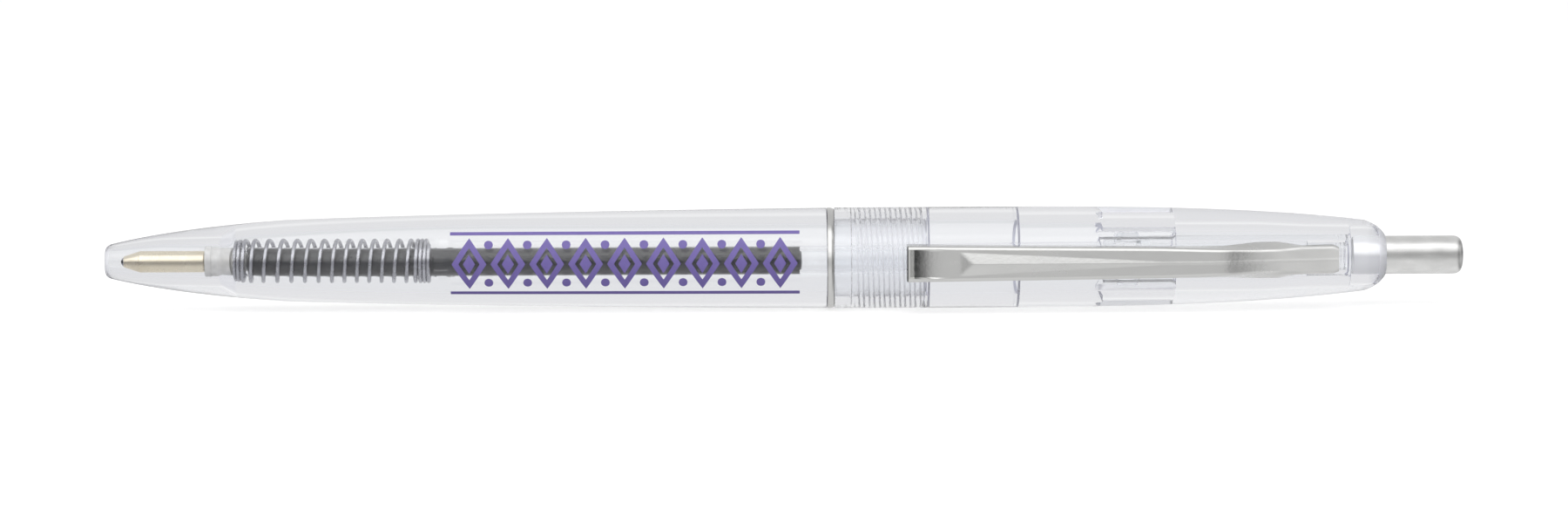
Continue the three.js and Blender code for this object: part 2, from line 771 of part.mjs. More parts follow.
function rotaryCam() {
  const cup = TUBE_RADIUS + PRESS_GAP;
  const toothRoot = toothPlane - CAM_TOOTH_HEIGHT;
  const outside = [
    [camFront, PLUNGER_RADIUS],
    [toothRoot, PLUNGER_RADIUS],
    [toothRoot, INK_DUCT_RADIUS],
    [camFront + CAM_CUP_DEPTH, INK_DUCT_RADIUS],
    [camFront + CAM_CUP_DEPTH, cup],
    [camFront, cup],
    [camFront, PLUNGER_RADIUS],
  ];
  const teeth = toothedRing(
    toothRoot - CAM_TOOTH_HEIGHT / 2,
    toothPlane - SLIDE_GAP / 2,
    PLUNGER_BORE_RADIUS,
    PLUNGER_RADIUS,
  );
  let body = solid(turned(outside, SMALL_SIDES)).add(solid(teeth));
  const inner = (cup + PLUNGER_RADIUS) / 2;
  const reach = RIB_BORE_RADIUS - SLIDE_GAP;
  for (const turn of slotTurns()) {
    const fin = slotBar(finFront, finRear, FIN_THICKNESS, inner, reach, turn, 'slanted');
    body = body.add(solid(fin));
  }
  return geometryOf(body);
}

// Refill: ball, tip, socket, ink and tube

const ballCentre = BALL_SETBACK + BALL_RADIUS;
const lipStation = BALL_SETBACK + BALL_PROUD;

function writingBall() {
  const ball = new THREE.SphereGeometry(BALL_RADIUS, 16, 10);
  ball.translate(ballCentre, 0, 0);
  return closedBody(ball);
}

function tipBody() {
  const pocket = BALL_RADIUS + PRESS_GAP * 2;
  const lipBore = Math.sqrt(BALL_RADIUS ** 2 - (ballCentre - lipStation) ** 2) + PRESS_GAP * 2;
  const coneEnd = BALL_SETBACK + TIP_CONE_LENGTH;
  const stemEnd = tipRear + TIP_STEM_LENGTH;
  const profile = [
    [lipStation, TIP_LIP_RADIUS],
    [coneEnd, TIP_RADIUS],
    [tipRear, TIP_RADIUS],
    [tipRear, TIP_STEM_RADIUS],
    [stemEnd, TIP_STEM_RADIUS],
    [stemEnd, INK_DUCT_RADIUS],
    [ballCentre + pocket + INK_DUCT_RADIUS, INK_DUCT_RADIUS],
    [ballCentre + pocket, pocket],
    [ballCentre, pocket],
    [lipStation, lipBore],
    [lipStation, TIP_LIP_RADIUS],
  ];
  return turned(profile, SMALL_SIDES);
}

function tipSocket() {
  const stemHole = TIP_STEM_RADIUS + PRESS_GAP;
  const stemEnd = tipRear + TIP_STEM_LENGTH + FACE_GAP;
  const front = tipRear + FACE_GAP;
  const profile = [
    [front, TUBE_RADIUS - SOCKET_FRONT_CORNER],
    [front + SOCKET_FRONT_CORNER, TUBE_RADIUS],
    [socketRear, TUBE_RADIUS],
    [socketRear, TUBE_BORE_RADIUS - PRESS_GAP],
    [plugRear, TUBE_BORE_RADIUS - PRESS_GAP],
    [plugRear, INK_DUCT_RADIUS],
    [stemEnd, INK_DUCT_RADIUS],
    [stemEnd, stemHole],
    [front, stemHole],
    [front, TUBE_RADIUS - SOCKET_FRONT_CORNER],
  ];
  return turned(profile, SMALL_SIDES);
}

function inkColumn() {
  const radius = TUBE_BORE_RADIUS - PRESS_GAP;
  const front = plugRear + FACE_GAP;
  const outline = [
    [front, radius],
    [front + INK_LENGTH, radius],
  ];
  return turnedBar(outline, SMALL_SIDES);
}

function refillTube() {
  const tube = turnedTube(
    [
      [tubeFront, TUBE_RADIUS],
      [tubeRear, TUBE_RADIUS],
    ],
    [
      [tubeRear, TUBE_BORE_RADIUS],
      [tubeFront, TUBE_BORE_RADIUS],
    ],
    SMALL_SIDES,
  );
  const inner = (TUBE_BORE_RADIUS + TUBE_RADIUS) / 2;
  const ear = new THREE.Shape();
  ear.moveTo(earFront, inner);
  ear.lineTo(earFront, EAR_HEIGHT);
  ear.lineTo(earFront + EAR_LENGTH * 0.45, EAR_HEIGHT);
  ear.lineTo(earFront + EAR_LENGTH, inner);
  ear.closePath();
  let body = solid(tube);
  for (const side of [-1, 1]) {
    const blade = new THREE.ExtrudeGeometry(ear, { depth: EAR_THICKNESS, bevelEnabled: false });
    blade.translate(0, 0, -EAR_THICKNESS / 2);
    blade.rotateX(side > 0 ? 0 : Math.PI);
    body = body.add(solid(blade));
  }
  return geometryOf(body);
}

// Return spring: one left-handed wire, closed at both ends and open between them

function springCentreLine() {
  const radius = SPRING_RADIUS - SPRING_WIRE / 2;
  const turns = SPRING_CLOSED_FRONT + SPRING_ACTIVE + SPRING_CLOSED_REAR;
  const closed = SPRING_CLOSED_FRONT + SPRING_CLOSED_REAR;
  const run = SPRING_LENGTH - SPRING_WIRE;
  const activePitch = (run - closed * SPRING_CLOSED_PITCH) / SPRING_ACTIVE;
  const rise = (turn) => {
    const front = Math.min(turn, SPRING_CLOSED_FRONT);
    const active = Math.min(Math.max(turn - SPRING_CLOSED_FRONT, 0), SPRING_ACTIVE);
    const rear = Math.max(turn - SPRING_CLOSED_FRONT - SPRING_ACTIVE, 0);
    return (front + rear) * SPRING_CLOSED_PITCH + active * activePitch;
  };
  const points = [];
  for (let i = 0; i <= turns * SPRING_STEPS; i += 1) {
    const turn = i / SPRING_STEPS;
    points.push(onAxis(springFront + SPRING_WIRE / 2 + rise(turn), radius, -2 * Math.PI * turn));
  }
  const across = (from, to) => {
    const away = to.clone().sub(from);
    away.x = 0;
    return away.setLength(SPRING_WIRE);
  };
  points.unshift(points[0].clone().add(across(points[1], points[0])));
  const last = points.length - 1;
  points.push(points[last].clone().add(across(points[last - 1], points[last])));
  return points;
}

function leastGap(points, wire) {
  let least = Infinity;
  for (let i = 0; i < points.length; i += 1) {
    for (let k = i + SPRING_STEPS / 2; k < points.length; k += 1) {
      least = Math.min(least, points[i].distanceTo(points[k]));
    }
  }
  return least - wire;
}

function returnSpring() {
  const points = springCentreLine();
  const gap = leastGap(points, SPRING_WIRE);
  console.log(`return_spring: least gap between turns ${gap.toFixed(2)} mm`);
  const loops = points.map((point, i) => {
    const before = points[Math.max(i - 1, 0)];
    const after = points[Math.min(i + 1, points.length - 1)];
    const along = after.clone().sub(before).normalize();
    const out = new THREE.Vector3(0, point.y, point.z).normalize();
    const side = along.clone().cross(out).normalize();
    const up = side.clone().cross(along).normalize();
    return Array.from({ length: SPRING_SIDES }, (_, k) => {
      const angle = (2 * Math.PI * k) / SPRING_SIDES;
      const offset = up.clone().multiplyScalar(Math.cos(angle));
      offset.addScaledVector(side, Math.sin(angle));
      return point.clone().addScaledVector(offset, SPRING_WIRE / 2);
    });
  });
  return skin(loops, 'fan');
}

// The pen, laid on its side with the middle of its base at the origin

const pen = new THREE.Group();
const clipTop = BARREL_RADIUS + CLIP_STANDOFF + CLIP_RIB_HEIGHT;
pen.position.set(-penLength / 2, (clipTop - BARREL_RADIUS) / 2, BARREL_RADIUS);
pen.add(
  piece('lower_barrel', lowerBarrel(), clearPlastic()),
  piece('trim_ring', trimRing(), brightPlate()),
  piece('upper_barrel', upperBarrel(), clearPlastic()),
  piece('pocket_clip', pocketClip(), brightPlate()),
  piece('button_cap', buttonCap(), brightPlate()),
  piece('button_plunger', buttonPlunger(), clearPlastic()),
  piece('rotary_cam', rotaryCam(), clearPlastic()),
  piece('return_spring', returnSpring(), springSteel()),
  piece('refill_tube', refillTube(), clearPlastic()),
  piece('ink_column', inkColumn(), darkInk()),
  piece('tip_socket', tipSocket(), paleSocket()),
  piece('tip_body', tipBody(), nickelSilver()),
  piece('writing_ball', writingBall(), springSteel()),
);
console.log(`pen: ${penLength.toFixed(2)} mm long, button travel ${stroke.toFixed(2)} mm`);

const scene = new THREE.Group();
scene.add(pen);

export default scene;
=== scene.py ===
# %% [markdown]
# # A clear pushbutton ballpoint pen
#
# The pen lies on its side on a white table, nose to the left, with its metal clip towards the
# viewer. Its two barrels are clear, so almost everything that makes it work can be seen: the tip in
# its socket, the return spring, the ink, the screw thread and the ribs of the click mechanism.
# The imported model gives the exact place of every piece. Here each piece gets its smooth surface
# and its finish.

import bmesh
import bpy
import numpy as np
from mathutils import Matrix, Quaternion, Vector


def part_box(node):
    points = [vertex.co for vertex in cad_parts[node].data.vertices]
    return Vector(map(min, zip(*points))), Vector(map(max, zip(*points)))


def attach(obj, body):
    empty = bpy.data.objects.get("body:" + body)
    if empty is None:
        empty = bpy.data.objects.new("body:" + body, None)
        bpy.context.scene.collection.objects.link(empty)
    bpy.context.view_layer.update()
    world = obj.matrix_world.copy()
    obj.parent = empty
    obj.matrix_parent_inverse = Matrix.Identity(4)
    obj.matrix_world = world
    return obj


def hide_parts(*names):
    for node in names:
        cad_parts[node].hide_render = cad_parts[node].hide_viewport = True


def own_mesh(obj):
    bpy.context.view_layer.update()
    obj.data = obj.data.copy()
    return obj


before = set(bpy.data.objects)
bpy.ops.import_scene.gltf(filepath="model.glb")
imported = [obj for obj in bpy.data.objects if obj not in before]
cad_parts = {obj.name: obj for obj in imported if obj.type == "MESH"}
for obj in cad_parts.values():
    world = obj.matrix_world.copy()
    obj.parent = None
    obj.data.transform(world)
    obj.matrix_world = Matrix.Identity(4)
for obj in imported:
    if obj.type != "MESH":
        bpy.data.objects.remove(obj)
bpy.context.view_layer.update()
print("pieces in the frame:", ", ".join(sorted(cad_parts)))

# %% [markdown]
# ## The pen's own measure
#
# A turned piece is easiest to describe along its axis. A station is a distance in millimetres from
# the flat end of the nose. Height is counted from the axis towards the clip, and width across the
# clip, upwards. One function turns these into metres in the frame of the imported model. The axis is
# read from the trim ring, and the nose from the lower barrel, so the pieces land where the frame
# has them.

# %% From stations to metres
MM = 0.001
ring_low, ring_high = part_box("trim_ring")
AXIS = (ring_low + ring_high) / 2
NOSE_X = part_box("lower_barrel")[0].x


def placed(station, height, width):
    """Points in metres: x = nose + station, y = axis - height, z = axis + width."""
    station, height, width = np.broadcast_arrays(station, height, width)
    x = NOSE_X + station * MM
    y = AXIS.y - height * MM
    z = AXIS.z + width * MM
    return np.stack([x, y, z], axis=-1)


print("nose at x =", round(NOSE_X * 1000, 2), "mm, axis at", [round(a * 1000, 2) for a in AXIS])

# %% [markdown]
# ## Surfaces from grids
#
# Every new piece is one grid of points. Each square of four neighbours becomes a face, and a grid
# may close on itself both ways, as a tube does. Points that fall together, at a pole or a seam, are
# welded. Then all faces are turned outwards and shaded smooth, except across sharp edges.

# %% A grid becomes a mesh
WELD = 1.5e-7
SHARP_ANGLE = 32


def surface(name, points, round_rows=True, round_columns=True):
    """Mesh of points[row, column]: face (r, c) joins (r, c), (r, c+1), (r+1, c+1), (r+1, c)."""
    rows, columns = points.shape[:2]
    r = np.arange(rows if round_rows else rows - 1)[:, None]
    c = np.arange(columns if round_columns else columns - 1)[None, :]
    next_r, next_c = (r + 1) % rows, (c + 1) % columns
    corners = (r * columns + c, r * columns + next_c, next_r * columns + next_c, next_r * columns + c)
    faces = np.stack(corners, axis=-1).reshape(-1, 4)
    mesh = bpy.data.meshes.new(name)
    mesh.from_pydata(points.reshape(-1, 3).tolist(), [], faces.tolist())
    work = bmesh.new()
    work.from_mesh(mesh)
    bmesh.ops.remove_doubles(work, verts=work.verts, dist=WELD)
    bmesh.ops.dissolve_degenerate(work, edges=work.edges, dist=WELD)
    bmesh.ops.recalc_face_normals(work, faces=work.faces)
    work.to_mesh(mesh)
    work.free()
    mesh.polygons.foreach_set("use_smooth", np.ones(len(mesh.polygons), dtype=bool))
    mesh.set_sharp_from_angle(angle=np.radians(SHARP_ANGLE))
    piece = bpy.data.objects.new(name, mesh)
    bpy.context.scene.collection.objects.link(piece)
    print(name, len(mesh.vertices), "points,", len(mesh.polygons), "faces")
    return piece


# %% [markdown]
# ## Profiles
#
# A moulded or turned piece has no knife edges: each corner is a small curve, and that curve is what
# catches the light. Profiles are lists of station and radius. A bend is a smooth curve between two
# points that is drawn towards a third, and easing puts a small bend at each corner of a profile.

# %% Bends and eased corners
EASED_TURN = np.radians(20)
EASED_SHARE = 0.45


def bend(start, middle, end, steps=24):
    """Points (1-t)^2 start + 2t(1-t) middle + t^2 end, for t from 0 to 1."""
    t = np.linspace(0, 1, steps + 1)[:, None]
    start, middle, end = (np.array(p, dtype=float) for p in (start, middle, end))
    return (1 - t) ** 2 * start + 2 * t * (1 - t) * middle + t**2 * end


def eased(profile, radius, closed=True, steps=4):
    """The profile with a bend of about that radius at each corner that turns by 20 degrees or more."""
    profile = np.array(profile, dtype=float)
    parts = []
    for i, here in enumerate(profile):
        before, after = profile[i - 1], profile[(i + 1) % len(profile)]
        back, on = before - here, after - here
        reach_back, reach_on = np.linalg.norm(back), np.linalg.norm(on)
        at_end = not closed and i in (0, len(profile) - 1)
        if at_end or reach_back * reach_on == 0:
            parts.append(here[None])
            continue
        turn = np.pi - np.arccos(np.clip(back @ on / (reach_back * reach_on), -1, 1))
        if turn < EASED_TURN:
            parts.append(here[None])
            continue
        start = here + back * min(radius / reach_back, EASED_SHARE)
        end = here + on * min(radius / reach_on, EASED_SHARE)
        parts.append(bend(start, here, end, steps))
    return np.vstack(parts)


def even_angles(sides):
    """Angles evenly spread round the pen, as one row."""
    return np.linspace(0, 2 * np.pi, sides, endpoint=False)[None, :]


def turned(name, profile, sides=96, closed=True, drop=None):
    """The profile turned round the axis: height = radius cos angle, width = radius sin angle - drop."""
    station, radius = profile[:, :1], profile[:, 1:]
    angle = even_angles(sides)
    lower = 0 if drop is None else drop(station)
    points = placed(station, radius * np.cos(angle), radius * np.sin(angle) - lower)
    return surface(name, points, round_rows=closed)


# %% [markdown]
# ## Finishes
#
# A finish starts from a Principled shader with its plain numbers on its own sockets. Fine noise in
# the piece's own space then varies its colour and roughness or raises the surface a little, because
# no real surface is even. Where a finish differs from end to end, or where a painted reflection runs
# along it, a ramp of greys along one axis is multiplied into it.

# %% A plain finish
def plain_finish(name, colour, roughness, metallic=0.0, **more):
    """A Principled material; other sockets are given by name, with _ for each space."""
    material = bpy.data.materials.new(name)
    material.use_nodes = True
    shader = material.node_tree.nodes["Principled BSDF"]
    shader.inputs["Base Color"].default_value = (*colour, 1)
    shader.inputs["Roughness"].default_value = roughness
    shader.inputs["Metallic"].default_value = metallic
    for socket, value in more.items():
        shader.inputs[socket.replace("_", " ")].default_value = value
    return material


# %% Small helpers for node trees
COLOUR_A, COLOUR_B, COLOUR_RESULT = 6, 7, 2
LOW_NOISE, HIGH_NOISE = 0.3, 0.7


def feed(tree, source, socket):
    """The socket takes what another socket gives, or a plain value."""
    if isinstance(source, bpy.types.NodeSocket):
        tree.links.new(source, socket)
    else:
        socket.default_value = source


def arithmetic(tree, operation, first, second):
    """A Math node's result."""
    node = tree.nodes.new("ShaderNodeMath")
    node.operation = operation
    feed(tree, first, node.inputs[0])
    feed(tree, second, node.inputs[1])
    return node.outputs["Value"]


def colour_mix(tree, blend, factor, first, second):
    """Two colours in a Mix node, whose colours are its seventh and eighth inputs."""
    mix = tree.nodes.new("ShaderNodeMix")
    mix.data_type, mix.blend_type = "RGBA", blend
    feed(tree, factor, mix.inputs["Factor"])
    feed(tree, first, mix.inputs[COLOUR_A])
    feed(tree, second, mix.inputs[COLOUR_B])
    return mix.outputs[COLOUR_RESULT]


def greys(*stops):
    """Stops of colour from pairs of a place and a grey."""
    return [(place, (grey, grey, grey)) for place, grey in stops]


def colour_along(tree, factor, stops):
    """A colour that runs through the stops, each a place from 0 to 1 with its red, green and blue."""
    ramp = tree.nodes.new("ShaderNodeValToRGB")
    elements = ramp.color_ramp.elements
    while len(elements) < len(stops):
        elements.new(0.5)
    for element, (place, colour) in zip(elements, stops):
        element.position, element.color = place, (*colour, 1)
    tree.links.new(factor, ramp.inputs["Fac"])
    return ramp.outputs["Color"]


# %% Noise in the piece's own space
def noise_on(material, scale, stretch=(1, 1, 1), detail=3.0):
    """The Factor socket of a noise, with `scale` waves a metre, stretched along each axis."""
    nodes, links = material.node_tree.nodes, material.node_tree.links
    coordinates = nodes.new("ShaderNodeTexCoord")
    mapping = nodes.new("ShaderNodeMapping")
    mapping.inputs["Scale"].default_value = stretch
    noise = nodes.new("ShaderNodeTexNoise")
    noise.inputs["Scale"].default_value = scale
    noise.inputs["Detail"].default_value = detail
    links.new(coordinates.outputs["Object"], mapping.inputs["Vector"])
    links.new(mapping.outputs["Vector"], noise.inputs["Vector"])
    return noise.outputs["Fac"]


def varied(material, factor, socket, low, high):
    """The socket runs from low to high as the factor runs over its middle."""
    nodes, links = material.node_tree.nodes, material.node_tree.links
    reach = nodes.new("ShaderNodeMapRange")
    reach.inputs["From Min"].default_value = LOW_NOISE
    reach.inputs["From Max"].default_value = HIGH_NOISE
    reach.inputs["To Min"].default_value = low
    reach.inputs["To Max"].default_value = high
    links.new(factor, reach.inputs["Value"])
    links.new(reach.outputs["Result"], nodes["Principled BSDF"].inputs[socket])


def tinted(material, factor, dark, light):
    """The colour runs from dark to light as the factor runs over its middle."""
    tree = material.node_tree
    colour = colour_along(tree, factor, [(LOW_NOISE, dark), (HIGH_NOISE, light)])
    tree.links.new(colour, tree.nodes["Principled BSDF"].inputs["Base Color"])


def raised(material, factor, height):
    """The surface rises by up to `height` metres with the factor."""
    nodes, links = material.node_tree.nodes, material.node_tree.links
    bump = nodes.new("ShaderNodeBump")
    bump.inputs["Strength"].default_value = 1.0
    bump.inputs["Distance"].default_value = height
    links.new(factor, bump.inputs["Height"])
    links.new(bump.outputs["Normal"], nodes["Principled BSDF"].inputs["Normal"])


# %% A finish that changes with the place
def multiplied(material, socket, axis, low, high, stops):
    """The socket is multiplied by a grey that depends on the place from low to high on an axis."""
    tree = material.node_tree
    target = tree.nodes["Principled BSDF"].inputs[socket]
    coordinates = tree.nodes.new("ShaderNodeTexCoord")
    place = tree.nodes.new("ShaderNodeSeparateXYZ")
    reach = tree.nodes.new("ShaderNodeMapRange")
    reach.inputs["From Min"].default_value = low
    reach.inputs["From Max"].default_value = high
    tree.links.new(coordinates.outputs["Object"], place.inputs["Vector"])
    tree.links.new(place.outputs[axis], reach.inputs["Value"])
    grey = colour_along(tree, reach.outputs["Result"], greys(*stops))
    before = target.links[0].from_socket if target.links else target.default_value
    tree.links.new(colour_mix(tree, "MULTIPLY", 1.0, before, grey), target)


def open_to(material, rays, sheet_colour):
    """Rays for which the socket `rays` is 1 meet only a sheet that tints what crosses it."""
    tree = material.node_tree
    sheet = tree.nodes.new("ShaderNodeBsdfTransparent")
    sheet.inputs["Color"].default_value = (*sheet_colour, 1)
    either = tree.nodes.new("ShaderNodeMixShader")
    tree.links.new(rays, either.inputs["Fac"])
    tree.links.new(tree.nodes["Principled BSDF"].outputs["BSDF"], either.inputs[1])
    tree.links.new(sheet.outputs["BSDF"], either.inputs[2])
    tree.links.new(either.outputs["Shader"], tree.nodes["Material Output"].inputs["Surface"])


# %% [markdown]
# Clear polystyrene bends light strongly. Light also reaches what is inside it, which a path tracer
# finds only with difficulty, so to shadow rays the plastic is a faintly tinted sheet that they
# cross. Its surface has the slow waves of a moulding, not the flatness of ground glass. The plunger
# and the cam bend light less here than they really do, so that their edges show as softly as those
# of the real ones. The two satin finishes are for steps, flanks and walls that no one polishes.

# %% Clear plastic
MOULDED_WAVES = 260


def clear_plastic(name, colour, ior, shade, wave_height, roughness=0.02, clearness=1.0):
    """To shadow rays the plastic is a sheet of the grey `shade`."""
    material = plain_finish(name, colour, roughness, IOR=ior, Transmission_Weight=clearness)
    raised(material, noise_on(material, MOULDED_WAVES, (0.25, 1, 1), 1.0), wave_height)
    path = material.node_tree.nodes.new("ShaderNodeLightPath")
    open_to(material, path.outputs["Is Shadow Ray"], (shade, shade, shade))
    return material


barrel_clear = clear_plastic("clear_barrel", (0.97, 0.976, 0.986), 1.5, 0.96, 4e-6)
mechanism_clear = clear_plastic("clear_mechanism", (0.96, 0.965, 0.97), 1.3, 0.96, 3e-6)
tube_clear = clear_plastic("clear_tube", (0.98, 0.985, 0.99), 1.42, 0.97, 2e-6)
# The satin for steps is tinted darker and bluer than the clear plastic: painted shade.
step_satin_painted_shade = clear_plastic("satin_steps_painted_shade", (0.66, 0.67, 0.80), 1.5, 0.96, 4e-6, 0.5, 0.5)
flank_satin = clear_plastic("satin_flanks", (0.96, 0.965, 1.0), 1.5, 0.96, 4e-6, 0.4, 0.7)
print("clear finishes:", barrel_clear.name, mechanism_clear.name, tube_clear.name)
print("satin finishes:", step_satin_painted_shade.name, flank_satin.name)

# %% [markdown]
# The clip, the trim ring and the button are plated steel. Plating is bright but not a mirror: a
# pressed sheet keeps a faint orange peel, and handling dulls it in streaks. Behind its wings, in the
# pocket, the clip is duller and a little lighter. The button and the tip each carry a painted
# reflection: a darker streak painted into their colour along their middle, where they would mirror
# whatever stands in front of the pen.

# %% Plated and turned metals
DULL_FROM, DULL_TO = NOSE_X + 117 * MM, NOSE_X + 121 * MM
plated = plain_finish("bright_plate", (0.73, 0.73, 0.72), 0.2, 1.0)
varied(plated, noise_on(plated, 900, (0.3, 1, 1)), "Roughness", 0.15, 0.28)
multiplied(plated, "Roughness", "X", DULL_FROM, DULL_TO, [(0.0, 1.0), (1.0, 2.2)])
multiplied(plated, "Base Color", "X", DULL_FROM, DULL_TO, [(0.0, 1.0), (1.0, 1.15)])
raised(plated, noise_on(plated, 3200, (1, 1, 1), 5.0), 1.1e-5)

cap_plate = plain_finish("worn_plate_painted_reflection", (0.80, 0.80, 0.79), 0.34, 1.0)
tinted(cap_plate, noise_on(cap_plate, 1100, (0.5, 1, 1), 4.0), (0.84, 0.84, 0.83), (0.97, 0.97, 0.96))
CAP_HALF = 2 * MM
# Painted reflection: the button's colour is darker in a streak along its middle.
multiplied(cap_plate, "Base Color", "Z", AXIS.z - CAP_HALF, AXIS.z + CAP_HALF, [
    (0.0, 1.0), (0.22, 1.0), (0.40, 0.88), (0.50, 0.66),
    (0.57, 0.44), (0.61, 0.44), (0.68, 0.68), (0.75, 1.0),
])
varied(cap_plate, noise_on(cap_plate, 700, (0.4, 1, 1)), "Roughness", 0.24, 0.42)
raised(cap_plate, noise_on(cap_plate, 1500, (0.5, 1, 1), 4.0), 1.6e-5)
sleeve_plate = plain_finish("sleeve_plate", (0.86, 0.86, 0.865), 0.35, 0.5)
print("plated finishes:", plated.name, cap_plate.name, sleeve_plate.name)

# %% Wire and nickel silver
wire = plain_finish("spring_wire", (0.46, 0.46, 0.48), 0.22, 1.0)
tinted(wire, noise_on(wire, 1200), (0.40, 0.40, 0.42), (0.52, 0.52, 0.545))
varied(wire, noise_on(wire, 2500), "Roughness", 0.18, 0.3)

nickel_silver = plain_finish("nickel_silver", (0.86, 0.80, 0.66), 0.28, 1.0)
tinted(nickel_silver, noise_on(nickel_silver, 420, (0.4, 1, 1)), (0.82, 0.73, 0.55), (0.90, 0.83, 0.67))
varied(nickel_silver, noise_on(nickel_silver, 900), "Roughness", 0.24, 0.34)
TIP_HALF = 1.1 * MM
# Painted reflection: the tip's colour is darker in a streak along its middle.
multiplied(nickel_silver, "Base Color", "Z", AXIS.z - TIP_HALF, AXIS.z + TIP_HALF, [
    (0.0, 1.0), (0.3, 1.0), (0.42, 0.72), (0.54, 0.72), (0.64, 1.0),
])

# %% Socket and ink
pale_socket = plain_finish("pale_socket", (0.95, 0.95, 0.93), 0.26, Transmission_Weight=0.3, IOR=1.5)
tinted(pale_socket, noise_on(pale_socket, 1400), (0.72, 0.71, 0.69), (0.95, 0.945, 0.92))
ink_black = plain_finish("black_ink", (0.018, 0.018, 0.022), 0.3, IOR=1.45)
tinted(ink_black, noise_on(ink_black, 400, (0.2, 1, 1)), (0.006, 0.006, 0.008), (0.014, 0.014, 0.017))
print("wire, tip and fillings:", wire.name, nickel_silver.name, pale_socket.name, ink_black.name)

# %% [markdown]
# ## Places
#
# Each finished surface stands for one piece of the imported model. It takes the place of that piece's
# plain solid, which is hidden, and rides on the body that moves it.

# %% A piece takes its place
def seated(piece, material, node, body):
    """Gives a piece its finish and lets it stand for a node of the frame on that node's body."""
    piece.data.materials.append(material)
    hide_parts(node)
    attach(piece, body)
    return piece


# %% [markdown]
# The steps in a bore and the flanks of a thread keep the tool marks of the mould's cores, which
# nobody polishes. So they are satin and show as soft blue grey lines, while all else is clear. On the
# steps the blue grey is painted shade: their satin is tinted darker and bluer than the clear plastic.
# They are found by their place and by how far their normals lean: along the pen on a step or a flank,
# round the pen on the wall of a slot.

# %% Satin steps
FLANK_LEAN, STEP_LEAN, WALL_LEAN = 0.27, 0.3, 0.7


def faces_of(piece):
    """Each face's station and radius, and how much its normal points along the pen and round it."""
    count = len(piece.data.polygons)
    centre, normal = np.empty(count * 3), np.empty(count * 3)
    piece.data.polygons.foreach_get("center", centre)
    piece.data.polygons.foreach_get("normal", normal)
    centre, normal = centre.reshape(-1, 3), normal.reshape(-1, 3)
    y, z = centre[:, 1] - AXIS.y, centre[:, 2] - AXIS.z
    radius = np.hypot(y, z)
    sideways = np.abs(normal[:, 2] * y - normal[:, 1] * z) / radius
    return (centre[:, 0] - NOSE_X) / MM, radius / MM, np.abs(normal[:, 0]), sideways


def satin(piece, material, chosen):
    """The chosen faces get one more finish."""
    mesh = piece.data
    index = np.empty(len(mesh.polygons), dtype=np.int32)
    mesh.polygons.foreach_get("material_index", index)
    index[chosen] = len(mesh.materials)
    mesh.materials.append(material)
    mesh.polygons.foreach_set("material_index", index)
    print(piece.name, "has", int(chosen.sum()), "faces in", material.name)


# %% [markdown]
# ## The screw thread
#
# The barrels screw together: a single ridge winds round the spigot of the lower barrel and a groove
# of the same pitch winds inside the upper one. On a turned surface a thread is just a radius that
# depends on station and angle. The distance from the nearest turn decides how far it stands out. It
# is shallow here, because both barrels are clear and a deep one would hide what lies behind it.

# %% How far the thread stands out
THREAD_PITCH = 1.05
THREAD_FIRST = 77.28
THREAD_TURNS = 6.6
THREAD_HEIGHT = 0.09
THREAD_FLANK = 0.3
THREAD_FADE = 0.4
THREAD_STEP = 0.045
RIDGE_WIDTH, RIDGE_FROM, RIDGE_TO = 0.42, 76.9, 84.2
RIDGE_SHARE = 0.6
GROOVE_WIDTH, GROOVE_FROM, GROOVE_TO = 0.5, 77.0, 84.6


def smooth(x):
    """3x^2 - 2x^3, for x held between 0 and 1."""
    x = np.clip(x, 0, 1)
    return x * x * (3 - 2 * x)


def thread_rise(station, angle, width, first, last):
    """height * smooth((half width - |distance to the nearest turn|) / flank), faded at both ends."""
    turn = (station - THREAD_FIRST) / THREAD_PITCH - (np.pi - angle) / (2 * np.pi)
    distance = np.abs(turn - np.round(turn)) * THREAD_PITCH
    fade = smooth((station - first) / THREAD_FADE) * smooth((last - station) / THREAD_FADE)
    return THREAD_HEIGHT * smooth((width / 2 - distance) / THREAD_FLANK + 0.5) * fade


thread_last = THREAD_FIRST + THREAD_TURNS * THREAD_PITCH
print("thread from", THREAD_FIRST, "to", round(thread_last, 2), "mm")

# %% [markdown]
# ## Lower barrel
#
# A moulded tube with a tapered nose. Outside, two bends make the nose and the long belly. At the
# rear it steps down to the threaded spigot, and the bore comes back through a seat for the spring
# and a small hole for the tip. The whole outline is one closed profile, so inside and outside are
# one skin, as glass needs.

# %% Lower barrel
BARREL_REAR, REAR_RADIUS = 74.4, 5.17
SPIGOT_RADIUS = 4.02
NOSE_CORNER = 0.6


def lower_profile():
    thread_rows = np.arange(76.8, RIDGE_TO, THREAD_STEP)
    spigot = np.stack([thread_rows, np.full_like(thread_rows, SPIGOT_RADIUS)], axis=1)
    outside = np.vstack([
        [(0.03, 1.27)],
        bend((0.0, 1.32), (0.02, 1.6), (0.5, 1.78), 10),
        bend((0.5, 1.78), (7.2, 3.42), (18.5, 4.2), 40)[1:],
        bend((18.5, 4.2), (38, 4.88), (BARREL_REAR, REAR_RADIUS), 60)[1:-1],
        eased([
            (74.0, REAR_RADIUS), (BARREL_REAR, REAR_RADIUS),
            (BARREL_REAR, SPIGOT_RADIUS), (75.0, SPIGOT_RADIUS),
        ], 0.06, False),
        spigot,
        eased([
            (84.3, SPIGOT_RADIUS), (84.6, SPIGOT_RADIUS - 0.1), (84.6, 3.6), (84.4, 3.55),
        ], 0.06, False),
    ])
    inside = np.vstack([
        bend((40, 3.55), (24, 3.45), (13.6, 2.46), 30),
        eased([(13.5, 2.44), (13.3, 2.36), (12.0, 1.75), (11.4, 1.74)], 0.2, False),
        bend((6.5, 1.70), (4.6, 1.70), (1.2, 1.25), 16),
        [(0.12, 1.25)],
    ])
    return np.vstack([outside, inside])


